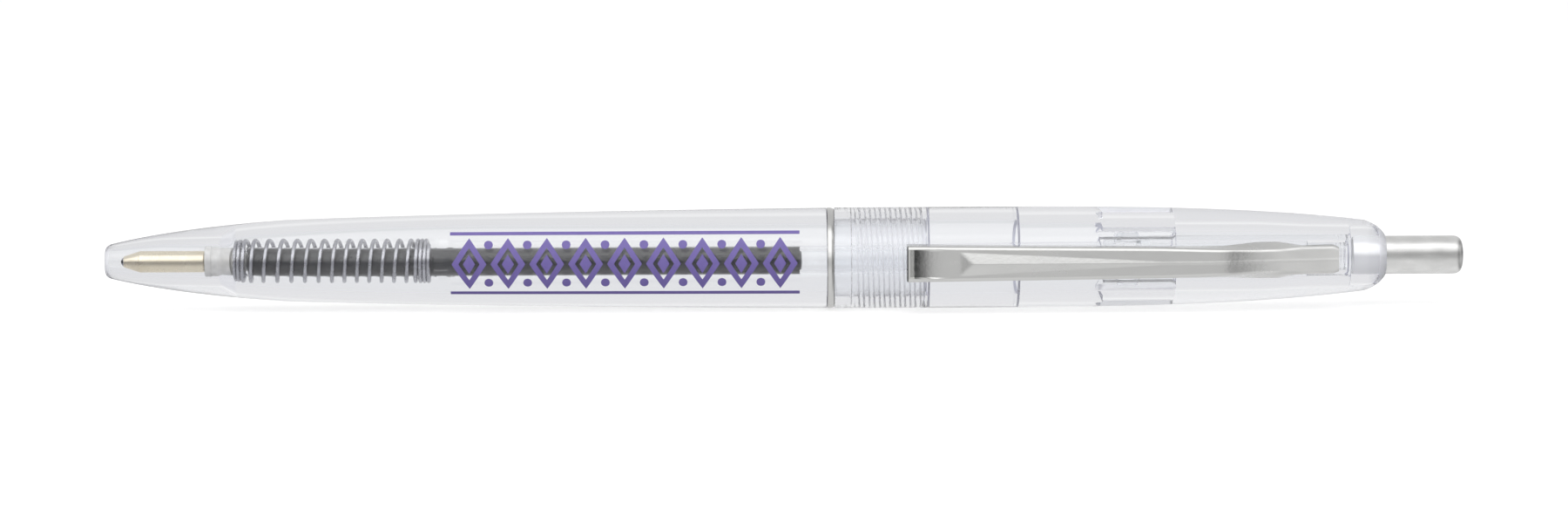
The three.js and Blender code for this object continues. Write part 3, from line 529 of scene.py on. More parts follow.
def lower_barrel():
    profile = lower_profile()
    station, radius = profile[:, :1], profile[:, 1:]
    angle = even_angles(128)
    on_spigot = np.isclose(radius, SPIGOT_RADIUS)
    rise = thread_rise(station, angle, RIDGE_WIDTH, RIDGE_FROM, RIDGE_TO)
    across = radius + RIDGE_SHARE * rise * on_spigot
    return surface("lower_barrel_clear", placed(station, across * np.cos(angle), across * np.sin(angle)))


lower_clear = seated(lower_barrel(), barrel_clear, "lower_barrel", "lower")
station, radius, along, sideways = faces_of(lower_clear)
on_spigot = (radius < 4.3) & (station > 77) & (station < 84.9) & (along > FLANK_LEAN)
on_nose = (station < NOSE_CORNER) & (along > STEP_LEAN)
satin(lower_clear, flank_satin, on_spigot | on_nose)

# %% [markdown]
# ## Printed band
#
# The barrel carries a pad print in violet ink on the side of the clip. It could be a pattern inside
# the plastic's material, but clear plastic and opaque ink are two finishes, so the print is a piece
# of its own: thin patches that lie on the barrel and follow its curve. Here it is a plain row of
# lozenges and dots between two lines.

# %% Patches on the barrel
PRINT_ABOVE, PRINT_BELOW = 0.02, -0.008
belly = lower_profile()
belly = belly[: np.argmax(belly[:, 0] >= BARREL_REAR - 0.1)]


def on_barrel(station, arc, above):
    """A point on the barrel's skin: arc is measured round the skin from the clip's side, upwards."""
    skin = np.interp(station, belly[:, 0], belly[:, 1])
    angle = arc / skin
    return placed(station, (skin + above) * np.cos(angle), (skin + above) * np.sin(angle))


def filled_patch(name, station, low, high):
    """For each station the arc runs from low to high above the skin and back below it.

    The first row is closed by its own middle.
    """
    share = np.linspace(0, 1, 9)[None, :]
    station, low, high = (np.asarray(v, dtype=float)[:, None] for v in (station, low, high))
    arc = low + (high - low) * share
    top, under = on_barrel(station, arc, PRINT_ABOVE), on_barrel(station, arc, PRINT_BELOW)
    rows = np.concatenate([top, under[:, ::-1]], axis=1)
    front = np.repeat(rows[:1].mean(axis=1, keepdims=True), rows.shape[1], axis=1)
    return surface(name, np.concatenate([front, rows]), round_rows=False)


def lozenge_ring(name, middle, half_length, half_arc, stroke):
    """A lozenge |x| / a + |y| / b = 1 and the same lozenge nearer its middle, joined as a flat ring."""
    turn = np.linspace(0, 4, 48, endpoint=False)
    x = np.abs(np.mod(turn, 4) - 2) - 1
    y = 1 - np.abs(np.mod(turn + 1, 4) - 2)
    inner = 1 - stroke * np.hypot(1 / half_length, 1 / half_arc)
    shares = np.array([1, (1 + inner) / 2, inner, inner, (1 + inner) / 2, 1])[None, :]
    above = np.array([PRINT_ABOVE] * 3 + [PRINT_BELOW] * 3)[None, :]
    station = middle + half_length * x[:, None] * shares
    return surface(name, on_barrel(station, half_arc * y[:, None] * shares, above + 0 * station))


def together(name, parts):
    """Several meshes as one."""
    work = bmesh.new()
    for part in parts:
        work.from_mesh(part.data)
        bpy.data.objects.remove(part)
    mesh = bpy.data.meshes.new(name)
    work.to_mesh(mesh)
    work.free()
    whole = bpy.data.objects.new(name, mesh)
    bpy.context.scene.collection.objects.link(whole)
    return whole


# %% Printed band
PRINT_FRONT, PRINT_REAR, LOZENGES = 35.8, 71.6, 9
LINE_ARC, LINE_HALF = 3.3, 0.2
RING_LENGTH, RING_ARC, RING_STROKE = 1.78, 2.75, 0.58
CORE_LENGTH, CORE_ARC = 0.62, 1.0
DOT_ARC, DOT_RADIUS = 2.0, 0.46
pitch = (PRINT_REAR - PRINT_FRONT) / LOZENGES
print_parts = []
for side in (-1, 1):
    line = np.linspace(PRINT_FRONT, PRINT_REAR, 60)
    line_arc = np.full_like(line, side * LINE_ARC)
    print_parts.append(filled_patch("print_line", line, line_arc - LINE_HALF, line_arc + LINE_HALF))
for number in range(LOZENGES):
    middle = PRINT_FRONT + pitch * (number + 0.5)
    print_parts.append(lozenge_ring("print_ring", middle, RING_LENGTH, RING_ARC, RING_STROKE))
    along = np.linspace(-CORE_LENGTH, CORE_LENGTH, 13)
    half = CORE_ARC * (1 - np.abs(along) / CORE_LENGTH)
    print_parts.append(filled_patch("print_lozenge", middle + along, -half, half))
    along = np.linspace(-DOT_RADIUS, DOT_RADIUS, 15)
    half = np.sqrt(DOT_RADIUS**2 - along**2)
    if number < LOZENGES - 1:
        for arc in (-DOT_ARC, DOT_ARC):
            dot = middle + pitch / 2 + along
            print_parts.append(filled_patch("print_dot", dot, arc - half, arc + half))
printed = together("printed_band", print_parts)
violet = plain_finish("violet_print", (0.15, 0.115, 0.35), 0.45)
tinted(violet, noise_on(violet, 1500), (0.142, 0.108, 0.335), (0.16, 0.122, 0.365))
printed.data.materials.append(violet)
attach(printed, "lower")
print("printed band:", len(printed.data.polygons), "faces")

# %% [markdown]
# ## Trim ring
#
# A thin ring of plated steel hides the joint between the barrels. It is a plain turned ring with
# eased edges.

# %% Trim ring
ring_profile = eased([(74.44, 4.08), (74.44, 5.19), (74.84, 5.19), (75.16, 5.07), (75.16, 4.08)], 0.06)
ring = turned("trim_ring_plated", ring_profile, 128)
seated(ring, plated, "trim_ring", "ring")

# %% [markdown]
# ## Upper barrel
#
# This is the hardest moulding. Outside it has the pocket for the clip, inside the groove for the
# thread, two steps in the bore, and four ribs whose slanted front ends work the click. It is still
# one closed grid of rows and columns. A step is two rows at the same station, and an upright wall
# two columns at the same place, so pocket and slots need no cutting. Columns are not evenly spread:
# outside they follow the pocket's sides, inside the slots' sides.

# %% Outside of the upper barrel
UPPER_FRONT, MOUTH_RADIUS, UPPER_RADIUS = 75.2, 4.2, 5.2
DOME_START, DOME_END = (129.85, 3.66), (132.0, 2.18)
COLUMNS = 120
POCKET_COLUMNS = 8
POCKET_FRONT, POCKET_REAR = 123.6, 127.9
POCKET_HALF, POCKET_FLOOR, POCKET_CORNER = 1.68, 2.63, 0.5
column = np.arange(COLUMNS)
signed_column = np.where(column <= COLUMNS // 2, column, column - COLUMNS)[None, :]


def pocket_half(station):
    """Half the pocket's width, which shrinks along a quarter circle at its rear corners."""
    into = np.clip(station - (POCKET_REAR - POCKET_CORNER), 0, POCKET_CORNER)
    beyond = station > POCKET_REAR
    shrink = POCKET_CORNER - np.sqrt(np.maximum(POCKET_CORNER**2 - into**2, 0))
    return POCKET_HALF - np.where(beyond, 0, shrink)


def upper_outside():
    """Rows of the outside, front to rear, with two rows at either end of the pocket."""
    rim = [(UPPER_FRONT, MOUTH_RADIUS), (UPPER_FRONT, UPPER_RADIUS), (80.0, UPPER_RADIUS)]
    outline = np.vstack([
        eased(rim, 0.06, False)[1:-1],
        [(80.0, UPPER_RADIUS), (87.0, UPPER_RADIUS), (94.0, UPPER_RADIUS)],
        bend((94.0, UPPER_RADIUS), (117.6, 5.23), DOME_START, 60)[1:],
        bend(DOME_START, (131.35, 3.2), DOME_END, 16)[1:],
    ])
    pocket_rows = np.linspace(POCKET_FRONT, POCKET_REAR, 24)
    corner_rows = POCKET_REAR - POCKET_CORNER * (1 - np.linspace(0, 1, 8) ** 0.5)
    station = np.unique(np.concatenate([outline[:, 0], pocket_rows, corner_rows]))
    twice = np.sort(np.concatenate([station, [POCKET_FRONT, POCKET_REAR]]))
    first_row = np.concatenate([[True], np.diff(twice) > 0])
    in_pocket = (twice > POCKET_FRONT) & (twice < POCKET_REAR)
    in_pocket |= (twice == POCKET_FRONT) & ~first_row
    in_pocket |= (twice == POCKET_REAR) & first_row
    rows = twice[:, None]
    order = np.argsort(outline[:, 0], kind="stable")
    radius = np.interp(rows, outline[order, 0], outline[order, 1])
    half = pocket_half(rows)
    share = np.clip(np.abs(signed_column) / POCKET_COLUMNS, 0, 1)
    edge_angle = np.arcsin(half / radius)
    rest = (np.abs(signed_column) - POCKET_COLUMNS - 1) / (COLUMNS / 2 - POCKET_COLUMNS - 1)
    angle = np.where(rest >= 0, edge_angle + rest * (np.pi - edge_angle), np.arcsin(share * half / radius))
    side = np.sign(signed_column)
    height, width = radius * np.cos(angle), side * radius * np.sin(angle)
    sunk = in_pocket[:, None] & (np.abs(signed_column) <= POCKET_COLUMNS)
    return placed(rows, np.where(sunk, POCKET_FLOOR, height), width)


# %% [markdown]
# Inside, a quarter of the columns holds one slot between two half ribs. The ribs' front ends are
# slanted like saw teeth, eight in all, which is what turns the cam at each click. Behind, each slot
# ends in a half circle.

# %% Inside of the upper barrel
SLOT_HALF = 0.525
RIB_FRONT, SLOT_END = 102.1, 110.2
RIB_RADIUS, SLOT_RADIUS, BORE_RADIUS = 3.05, 3.46, 3.5
FRONT_BORE, GROOVE_BORE = 3.9, 4.1
TOOTH_HEIGHT = 0.8
SLOT_FIRST, SLOT_LAST = 10, 18
quarter = column % (COLUMNS // 4)
quarter_start = (column // (COLUMNS // 4)) * (np.pi / 2)
in_slot = ((quarter >= SLOT_FIRST) & (quarter <= SLOT_LAST))[None, :]


def inner_angle(radius, slot_half):
    """Angles of the columns at each row: slot sides at 45 degrees -+ arcsin(half width / radius)."""
    lean = np.arcsin(np.clip(slot_half / radius, 0, 1))
    middle = np.pi / 4
    behind = SLOT_LAST + 1
    before = quarter / (SLOT_FIRST - 1) * (middle - lean)
    within = middle - lean + (quarter - SLOT_FIRST) / (SLOT_LAST - SLOT_FIRST) * 2 * lean
    after = middle + lean + (quarter - behind) / (COLUMNS // 4 - behind) * (middle - lean)
    local = np.where(quarter < SLOT_FIRST, before, np.where(quarter < behind, within, after))
    return quarter_start + local


def tooth_share(angle):
    """How far along its tooth an angle is, from 0 to 1; a tooth spans an eighth of a turn."""
    return np.mod((np.pi - angle) / (np.pi / 4), 1.0)


def plain_rows(profile):
    """Rows of a turned surface, with the columns where the slots want them."""
    profile = np.array(profile, dtype=float)
    station, radius = profile[:, :1], profile[:, 1:]
    angle = inner_angle(radius + 0 * quarter, SLOT_HALF)
    return placed(station, radius * np.cos(angle), radius * np.sin(angle))


def rib_rows():
    """Rows along the ribs, rear to front: radius of the rib, or of the slot between two ribs."""
    from_end = np.concatenate([SLOT_HALF * (1 - np.cos(np.linspace(0.05, np.pi / 2, 8))), [4.0]])
    half = np.sqrt(np.maximum(SLOT_HALF**2 - np.maximum(SLOT_HALF - from_end, 0) ** 2, 0))
    radius = np.where(in_slot, SLOT_RADIUS, RIB_RADIUS)
    angle = inner_angle(radius + 0 * half[:, None], half[:, None])
    station = (SLOT_END - from_end)[:, None]
    station = np.where(from_end[:, None] < SLOT_HALF / 8, SLOT_END, station)
    return placed(station, radius * np.cos(angle), radius * np.sin(angle))


def tooth_rows():
    """Two rows at the slanted rib fronts: one on the ribs and slots, one on the bore before them."""
    on_ribs = np.where(in_slot, SLOT_RADIUS, RIB_RADIUS)
    rows = []
    for radius in (on_ribs, np.full_like(on_ribs, BORE_RADIUS)):
        angle = inner_angle(radius, SLOT_HALF)
        middle = inner_angle(on_ribs, SLOT_HALF)
        station = RIB_FRONT + TOOTH_HEIGHT * tooth_share(middle)
        rows.append(placed(station, radius * np.cos(angle), radius * np.sin(angle)))
    return np.concatenate(rows)


def groove_rows():
    """Rows of the bore with the groove wound into it."""
    station = np.arange(84.5, 77.1, -THREAD_STEP)[:, None]
    angle = even_angles(COLUMNS)
    across = GROOVE_BORE + thread_rise(station, angle, GROOVE_WIDTH, GROOVE_FROM, GROOVE_TO)
    return placed(station, across * np.cos(angle), across * np.sin(angle))


def upper_inside():
    """Rows of the inside, rear to front."""
    rear = eased([
        (131.9, 2.08), (128.2, 2.08), (128.2, 2.25), (123.6, 2.25),
        (119.0, 2.42), (118.0, 2.42), (SLOT_END, 2.42),
    ], 0.04, False)
    front = eased([
        (101.2, BORE_RADIUS), (94.2, BORE_RADIUS), (94.0, FRONT_BORE),
        (84.95, FRONT_BORE), (84.75, GROOVE_BORE), (84.55, GROOVE_BORE),
    ], 0.06, False)
    mouth = eased([
        (77.0, GROOVE_BORE), (76.9, MOUTH_RADIUS), (UPPER_FRONT, MOUTH_RADIUS),
    ], 0.03, False)
    return np.concatenate([
        plain_rows(rear), rib_rows(), tooth_rows(), plain_rows(front), groove_rows(), plain_rows(mouth),
    ])


upper_clear = surface("upper_barrel_clear", np.concatenate([upper_outside(), upper_inside()]))
seated(upper_clear, barrel_clear, "upper_barrel", "upper")

# %% Satin places of the upper barrel
INSIDE_RADIUS = 4.4
GROOVE_START, GROOVE_END, LAST_STEP, DOME_RIM = 77.4, 84.4, 128.5, 131.2
station, radius, along, sideways = faces_of(upper_clear)
inside = radius < INSIDE_RADIUS
in_groove = inside & (station > GROOVE_START) & (station < GROOVE_END)
behind_groove = inside & (station > GROOVE_END) & (station < LAST_STEP)
by_ribs = inside & (station > RIB_FRONT - 0.3) & (station < SLOT_END + 0.1)
satin(upper_clear, flank_satin, in_groove & (along > FLANK_LEAN))
# The steps' satin carries painted shade, a darker blue grey tint.
satin(upper_clear, step_satin_painted_shade, behind_groove & (along > STEP_LEAN))
satin(upper_clear, flank_satin, station > DOME_RIM)
satin(upper_clear, flank_satin, by_ribs & (sideways > WALL_LEAN))

# %% [markdown]
# ## Pocket clip
#
# The clip is pressed from one strip of sheet steel, then plated. Its section is a shallow channel.
# Along its length the face dips into a dish behind the front edge, rises into a long boat shaped
# rib that stiffens it, spreads into two wings that sit on the barrel, and bends down into the
# pocket. Each of these is an outline along the clip, rounded a little where it changes, and the
# section at any place is drawn from the outlines.

# %% Outlines of the clip
CLIP_FRONT = 82.5
CLIP_LENGTH = 44.3
CLIP_SHEET = 0.4
CLIP_FACE = 7.1
CLIP_CORNER = 0.36
FACE_STEPS, CORNER_STEPS, FLANGE_STEPS = 24, 6, 6

# Half the face's width, half the open side's width, the channel's depth, and the rib's height and
# half width, each against the distance from the clip's front end.
outlines = {
    "flat": [
        (0, 1.50), (26.0, 1.22), (35.9, 0.94), (38.1, 0.94), (40.5, 1.13), (43.9, 1.13), (44.3, 0.85),
    ],
    "open": [
        (0, 1.93), (26.0, 1.62), (32.5, 1.62), (35.9, 1.86),
        (38.1, 1.86), (40.5, 1.45), (43.9, 1.45), (44.3, 1.2),
    ],
    "depth": [
        (0, 1.83), (1.9, 1.83), (5.12, 1.15), (32.5, 1.15),
        (35.9, 1.54), (38.1, 1.32), (40.5, 1.05), (44.3, 1.5),
    ],
    "crest": [(5.4, 0.18), (26.0, 0.02)],
    "rib": [(5.4, 1.22), (26.0, 0.2)],
}
DISH_START, DISH_LENGTH, DISH_DEPTH, DISH_HALF = 0.44, 4.7, 0.64, 1.5
PROW_START, PROW_SLOPE = 5.4, 0.13


def rounded(knots, at, reach, samples=9):
    """The line through the knots averaged over `reach` to either side, which rounds its corners."""
    knots = np.array(knots, dtype=float)
    offsets = np.linspace(-reach, reach, samples)
    return np.mean([np.interp(at + o, knots[:, 0], knots[:, 1]) for o in offsets], axis=0)


def outline(name, at, reach=0.25):
    """One of the clip's outlines, with its corners rounded."""
    return rounded(outlines[name], at, reach)


def dish(at):
    """-depth * (1 - share)^3 with share from 0 at the front rim to 1, steepest just behind the rim."""
    share = np.clip((at - DISH_START) / DISH_LENGTH, 0, 1)
    return -DISH_DEPTH * (1 - share) ** 3 * smooth((at - DISH_START + 0.08) / 0.12)


def clip_top(at):
    """Height of the face: straight, then a step down over the wings and a slant to the tongue."""
    return CLIP_FACE - rounded([(31.5, 0), (35.2, 1), (CLIP_LENGTH, 2.7)], at, 1.6, 33)


# %% Section of the clip
def clip_relief(at, width):
    """dish * smooth edge + a roof: the lower of crest * (1 - |width| / half) and the prow's slope."""
    sunk = dish(at) * smooth((DISH_HALF - np.abs(width)) / 0.14)
    half = outline("rib", at, 0.1)
    roof = outline("crest", at, 0.12) * np.clip(1 - np.abs(width) / half, 0, 1)
    return sunk + np.minimum(roof, PROW_SLOPE * np.maximum(at - PROW_START, 0))


def clip_section(at):
    """Half sections, centre to foot: outside and inside, as arrays of width and height."""
    top, flat = clip_top(at), outline("flat", at)
    open_half, depth = outline("open", at), outline("depth", at)
    bottom = top - depth
    across = np.linspace(0, 1, FACE_STEPS)[None, :] * flat
    face = (across, top + clip_relief(at, across))
    turn = np.linspace(0, np.pi / 2, CORNER_STEPS + 1)[None, 1:]
    side = np.minimum(flat + CLIP_CORNER, open_half)
    corner = (flat + (side - flat) * np.sin(turn), top - CLIP_CORNER * (1 - np.cos(turn)))
    down = np.linspace(0, 1, FLANGE_STEPS + 1)[None, 1:]
    corner_foot = top - CLIP_CORNER
    flange = (side + (open_half - side) * down, corner_foot + (bottom - corner_foot) * down)
    outside = [np.hstack(pair) for pair in zip(face, corner, flange)]
    inner_width = np.maximum(outside[0] - CLIP_SHEET * smooth(outside[0] / 0.8), 0)
    inner_height = np.minimum(outside[1], top + dish(at) - CLIP_SHEET)
    inner_height[:, -1:] = bottom
    inner_height = np.maximum(inner_height, bottom)
    return outside, [inner_width, inner_height]


# %% Pocket clip
END_WALL, END_ROUND, END_HEIGHT, END_HALF = 0.5, 0.16, 0.9, 1.9


def pocket_clip():
    """Outside, then inside of the section as one row; the front end is rounded by a quarter circle."""
    stations = np.concatenate([
        END_ROUND * (1 - np.cos(np.linspace(0, np.pi / 2, 5))), np.linspace(0.2, 2.4, 45),
        np.linspace(2.6, 29.0, 120), np.linspace(29.3, CLIP_LENGTH, 70),
    ])
    at = np.unique(stations)[:, None]
    (outer_width, outer_height), (inner_width, inner_height) = clip_section(at)
    from_edge = np.clip(END_ROUND - at, 0, END_ROUND)
    inset = END_ROUND - np.sqrt(np.maximum(END_ROUND**2 - from_edge**2, 0))
    outer_height = outer_height - inset * (outer_height > CLIP_FACE - END_HEIGHT)
    outer_width = outer_width * (1 - inset / END_HALF)
    inner_height = np.where(at < END_WALL, outer_height[:, -1:], inner_height)
    width = np.hstack([-outer_width[:, :0:-1], outer_width, inner_width[:, ::-1], -inner_width[:, 1:]])
    height = np.hstack([outer_height[:, :0:-1], outer_height, inner_height[:, ::-1], inner_height[:, 1:]])
    rows = placed(CLIP_FRONT + at, height, width)
    outer = outer_width.shape[1] * 2 - 1
    ends = []
    for row in (rows[0], rows[-1]):
        closed_end = row.copy()
        closed_end[outer:] = row[:outer][::-1]
        ends.append(closed_end[None])
    return surface("pocket_clip_plated", np.concatenate([ends[0], rows, ends[1]]), round_rows=False)


seated(pocket_clip(), plated, "pocket_clip", "clip")

# %% [markdown]
# ## Button
#
# What the thumb presses is a small drawn cap over the clear plunger. The plunger has a collar that
# keeps it in the barrel, and reaches down to the cam.

# %% Button cap
SLEEVE_END = 131.9
cap_profile = np.vstack([
    [(139.7, 0.0), (140.0, 0.0)],
    bend((140.0, 1.0), (140.0, 1.975), (139.0, 1.975), 14),
    eased([
        (134.0, 1.975), (SLEEVE_END, 1.975), (128.45, 1.975), (128.45, 1.675), (134.0, 1.675),
    ], 0.08, False),
    bend((139.3, 1.675), (139.7, 1.6), (139.7, 1.2), 6),
])
cap = turned("button_cap_plated", cap_profile, 96, False)
seated(cap, cap_plate, "button_cap", "button")
station, radius, along, sideways = faces_of(cap)
satin(cap, sleeve_plate, station < SLEEVE_END)

# %% Button plunger
plunger_profile = np.vstack([
    [(138.9, 0.0)],
    eased([
        (138.9, 1.4), (128.08, 1.575), (128.08, 2.0), (127.95, 2.15), (127.3, 2.15), (127.18, 2.1),
        (116.0, 2.1), (106.2, 2.1), (106.2, 1.2), (116.0, 1.2), (126.0, 1.2),
    ], 0.05, False),
    [(127.2, 0.0)],
])
plunger = turned("button_plunger_clear", plunger_profile, 96, False)
seated(plunger, mechanism_clear, "button_plunger", "button")

# %% [markdown]
# ## Rotary cam
#
# The cam is a short cup with four fins that slide in the barrel's slots. In a grid its radius
# depends on the angle: the fins are four narrow places where it is larger.

# %% Rotary cam
CAM_RADIUS, FIN_RADIUS = 2.1, 3.22
FIN_HALF, FIN_FLANK = 0.4 / 3.0, 0.08


def rotary_cam():
    """Radius = profile + (fin radius - cam radius) * fin, where fin is 1 near each slot's middle."""
    front = [(103.1, 1.56), (102.95, 1.7), (102.95, 2.0), (103.05, 2.1), (103.6, 2.1), (103.9, 2.1)]
    fins = [(104.2, CAM_RADIUS), (106.3, CAM_RADIUS)]
    rear = [(106.7, 2.1), (107.3, 2.1), (107.6, 2.0), (107.6, 0.4), (105.0, 0.4), (105.0, 1.56)]
    station, low = np.array(front + fins + rear).T[:, :, None]
    finned = np.repeat([0.0, 1.0, 0.0], [len(front), len(fins), len(rear)])[:, None]
    angle = even_angles(160)
    from_slot = np.abs(np.mod(angle, np.pi / 2) - np.pi / 4)
    fin = smooth((FIN_HALF - from_slot) / FIN_FLANK + 0.5)
    radius = low + (FIN_RADIUS - CAM_RADIUS) * fin * finned
    return surface("rotary_cam_clear", placed(station, radius * np.cos(angle), radius * np.sin(angle)))


seated(rotary_cam(), mechanism_clear, "rotary_cam", "refill")

# %% [markdown]
# ## Refill
#
# The tube is extruded plastic, pinched at one place into two ears that hold up the spring. The ink
# touches the tube's wall, and the wall works as a lens, so the ink seems to fill the tube's whole
# width. For that the ink has to be in contact with the wall, without a film of air between them.

# %% How the refill hangs
def refill_drop(station):
    """0.05 mm at the tip, 0.25 mm along the ink, and back to nothing in the cam."""
    return 0.05 + 0.2 * smooth((station - 8) / 18) - 0.25 * smooth((station - 74) / 26)


# %% Ink tube
TUBE_RADIUS, TUBE_BORE = 1.525, 1.0
EAR_FRONT, EAR_RISE, EAR_HALF = 33.8, 0.66, 0.55


def refill_tube():
    """Outer radius = tube radius + ear rise * along * across, where the ears face up and down."""
    rows = np.concatenate([
        [14.64, 14.7], np.linspace(15.5, 33.4, 18), np.linspace(33.7, 36.1, 24), np.linspace(38, 104.9, 40),
    ])
    station = np.concatenate([rows, rows[::-1]])[:, None]
    outer = (np.arange(2 * len(rows)) < len(rows))[:, None]
    angle = even_angles(96)
    along = smooth((station - EAR_FRONT) / 0.25) * (1 - smooth((station - EAR_FRONT - 1.1) / 1.0))
    across = smooth((EAR_HALF - np.abs(np.mod(angle + np.pi / 2, np.pi) - np.pi / 2)) / 0.4)
    radius = np.where(outer, TUBE_RADIUS + EAR_RISE * along * across, TUBE_BORE)
    width = radius * np.sin(angle) - refill_drop(station)
    return surface("ink_tube_clear", placed(station, radius * np.cos(angle), width))


seated(refill_tube(), tube_clear, "refill_tube", "refill")

# %% Ink
INK_RADIUS = TUBE_BORE + 0.006
ink_along = np.linspace(16, 70.5, 40)
ink_profile = np.vstack([
    [(14.75, 0.0)],
    eased([(14.75, 0.9), (14.75, INK_RADIUS), (15.5, INK_RADIUS)], 0.1, False),
    np.stack([ink_along, np.full_like(ink_along, INK_RADIUS)], axis=1),
    eased([(71.0, INK_RADIUS), (71.66, INK_RADIUS), (71.7, 0.5)], 0.2, False),
    [(71.6, 0.0)],
])
ink = turned("ink_filling", ink_profile, 64, False, refill_drop)
seated(ink, ink_black, "ink_column", "refill")

# %% [markdown]
# The tip is turned from nickel silver: a slender cone, a straight body and a fine step where it
# enters the pale socket. The writing ball shows as a bright dot at its very end.

# %% Socket, tip and ball
socket_profile = eased([
    (10.44, 0.86), (10.44, 1.46), (10.54, 1.56), (11.1, 1.56), (11.16, 1.48), (11.3, 1.5),
    (12.84, 1.5), (12.84, 1.03), (14.6, 1.03), (14.6, 0.3), (13.4, 0.3), (13.4, 0.86),
], 0.06)
socket = turned("tip_socket_pale", socket_profile, 64, True, refill_drop)
seated(socket, pale_socket, "tip_socket", "refill")

tip_profile = eased([
    (1.95, 0.44), (1.95, 0.54), (3.52, 1.06), (3.56, 1.03), (3.62, 1.1), (10.25, 1.1), (10.4, 1.05),
    (10.4, 0.75), (13.3, 0.75), (13.3, 0.3), (3.0, 0.3), (2.6, 0.62), (2.15, 0.5),
], 0.03)
tip = turned("tip_turned", tip_profile, 64, True, refill_drop)
seated(tip, nickel_silver, "tip_body", "refill")

BALL_STATION, BALL_RADIUS = 2.15, 0.5
half_turn = np.linspace(0, np.pi, 24)
ball_station, ball_radius = BALL_STATION - BALL_RADIUS * np.cos(half_turn), BALL_RADIUS * np.sin(half_turn)
ball_profile = np.stack([ball_station, ball_radius], axis=1)
ball = turned("writing_ball_ground", ball_profile, 32, False, refill_drop)
seated(ball, wire, "writing_ball", "ball")

# %% [markdown]
# ## Return spring
#
# One drawn wire, wound to the left. Its first and last turns lie close together, so that the spring
# stands square, and between them it is open. The centre line is a circle whose station follows the
# number of turns, and the wire is a ring of points carried along it, square to its direction. The
# whole spring sags a little.

# %% Return spring
SPRING_RADIUS, SPRING_FRONT_RADIUS, WIRE_RADIUS = 2.1, 1.94, 0.21
SPRING_FRONT, SPRING_LENGTH, SPRING_TRAVEL = 13.12, 20.6, 5.8
SPRING_SAG, SAG_FROM = 0.1, 13.0
spring_turns = np.array([
    (0, 13.38), (2.2, 14.3), (3.4, 15.4), (4.5, 17.0), (9, 23.3), (15.4, 31.5), (16.3, 32.2), (19.4, 33.5),
])


def spring_line(turn):
    """Station from the turn number, height and width on a circle that runs left-handed."""
    station = rounded(spring_turns, turn, 0.3, 7)
    angle = 2 * np.pi * turn
    radius = SPRING_FRONT_RADIUS + (SPRING_RADIUS - SPRING_FRONT_RADIUS) * smooth(turn / 3)
    return np.stack([station, radius * np.sin(angle), -radius * np.cos(angle)], axis=-1)


def return_spring():
    """The wire's ring = centre + wire radius * (outward * cos angle + aside * sin angle)."""
    turn = np.linspace(0, spring_turns[-1, 0], 855)
    centre = spring_line(turn)
    along = np.gradient(centre, axis=0)
    along /= np.linalg.norm(along, axis=1, keepdims=True)
    outward = centre * [0, 1, 1]
    outward /= np.linalg.norm(outward, axis=1, keepdims=True)
    aside = np.cross(along, outward)
    aside /= np.linalg.norm(aside, axis=1, keepdims=True)
    outward = np.cross(aside, along)
    angle = even_angles(12)[..., None]
    ring = outward[:, None] * np.cos(angle) + aside[:, None] * np.sin(angle)
    wall = centre[:, None] + WIRE_RADIUS * ring
    wall = np.concatenate([centre[:1, None] + 0 * wall[:1], wall, centre[-1:, None] + 0 * wall[-1:]])
    station, height, width = np.moveaxis(wall, -1, 0)
    sag = SPRING_SAG * (station - SAG_FROM) / SPRING_LENGTH
    return surface("return_spring_wire", placed(station, height, width - sag), round_rows=False)


spring = seated(return_spring(), wire, "return_spring", "lower")
front_point = placed(SPRING_FRONT, 0.0, 0.0)
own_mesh(spring)

# %% [markdown]
# ## Floor, light and camera
#
# The pen lies on a white table under a soft, even light. The table is lit a little and glows the
# rest of the way to white, so that the pen's soft shadow stays. Metal and clear plastic are only as
# good to look at as what they show, and they would look through a floor that is so near. So mirrored
# and bent rays pass the floor and end in the room.

# %% Floor
FLOOR_HALF = 3.0
floor_grid = FLOOR_HALF * np.array([[(x, y, 0.0) for x in (-1, 1)] for y in (-1, 1)])
floor = surface("floor", floor_grid, False, False)
floor_white = plain_finish("floor_white", (0.5, 0.5, 0.5), 0.9)
FLOOR_GLOW = 0.62
floor_tree = floor_white.node_tree
floor_shader = floor_tree.nodes["Principled BSDF"]
floor_shader.inputs["Emission Color"].default_value = (1, 1, 1, 1)
floor_rays = floor_tree.nodes.new("ShaderNodeLightPath").outputs
glow = arithmetic(floor_tree, "MULTIPLY", floor_rays["Is Camera Ray"], FLOOR_GLOW)
floor_tree.links.new(glow, floor_shader.inputs["Emission Strength"])
passing = arithmetic(floor_tree, "MAXIMUM", floor_rays["Is Glossy Ray"], floor_rays["Is Transmission Ray"])
open_to(floor_white, passing, (1, 1, 1))
floor.data.materials.append(floor_white)

# %% [markdown]
# The room is a picture of its own for each kind of ray. What the viewer sees is white. Mirrored and
# bent rays meet bands of light and dark round the pen, as from a light tent, and darker stretches
# towards its ends. A place in a band is an angle round the pen: 0.25 is straight down, 0.5 towards
# the viewer, 0.75 straight up, and 0 and 1 are both behind.

# %% Room
world = bpy.data.worlds.new("room")
bpy.context.scene.world = world
world.use_nodes = True
room = world.node_tree
WHITE, ROOM_GREY = (1, 1, 1, 1), (0.7, 0.7, 0.7, 1)


def by_ray(tree, seen, mirrored, bent, other):
    """A colour chosen by the kind of ray: seen, then bent, then mirrored, else other."""
    rays = tree.nodes.new("ShaderNodeLightPath").outputs
    chosen = colour_mix(tree, "MIX", rays["Is Glossy Ray"], other, mirrored)
    chosen = colour_mix(tree, "MIX", rays["Is Transmission Ray"], chosen, bent)
    return colour_mix(tree, "MIX", rays["Is Camera Ray"], chosen, seen)


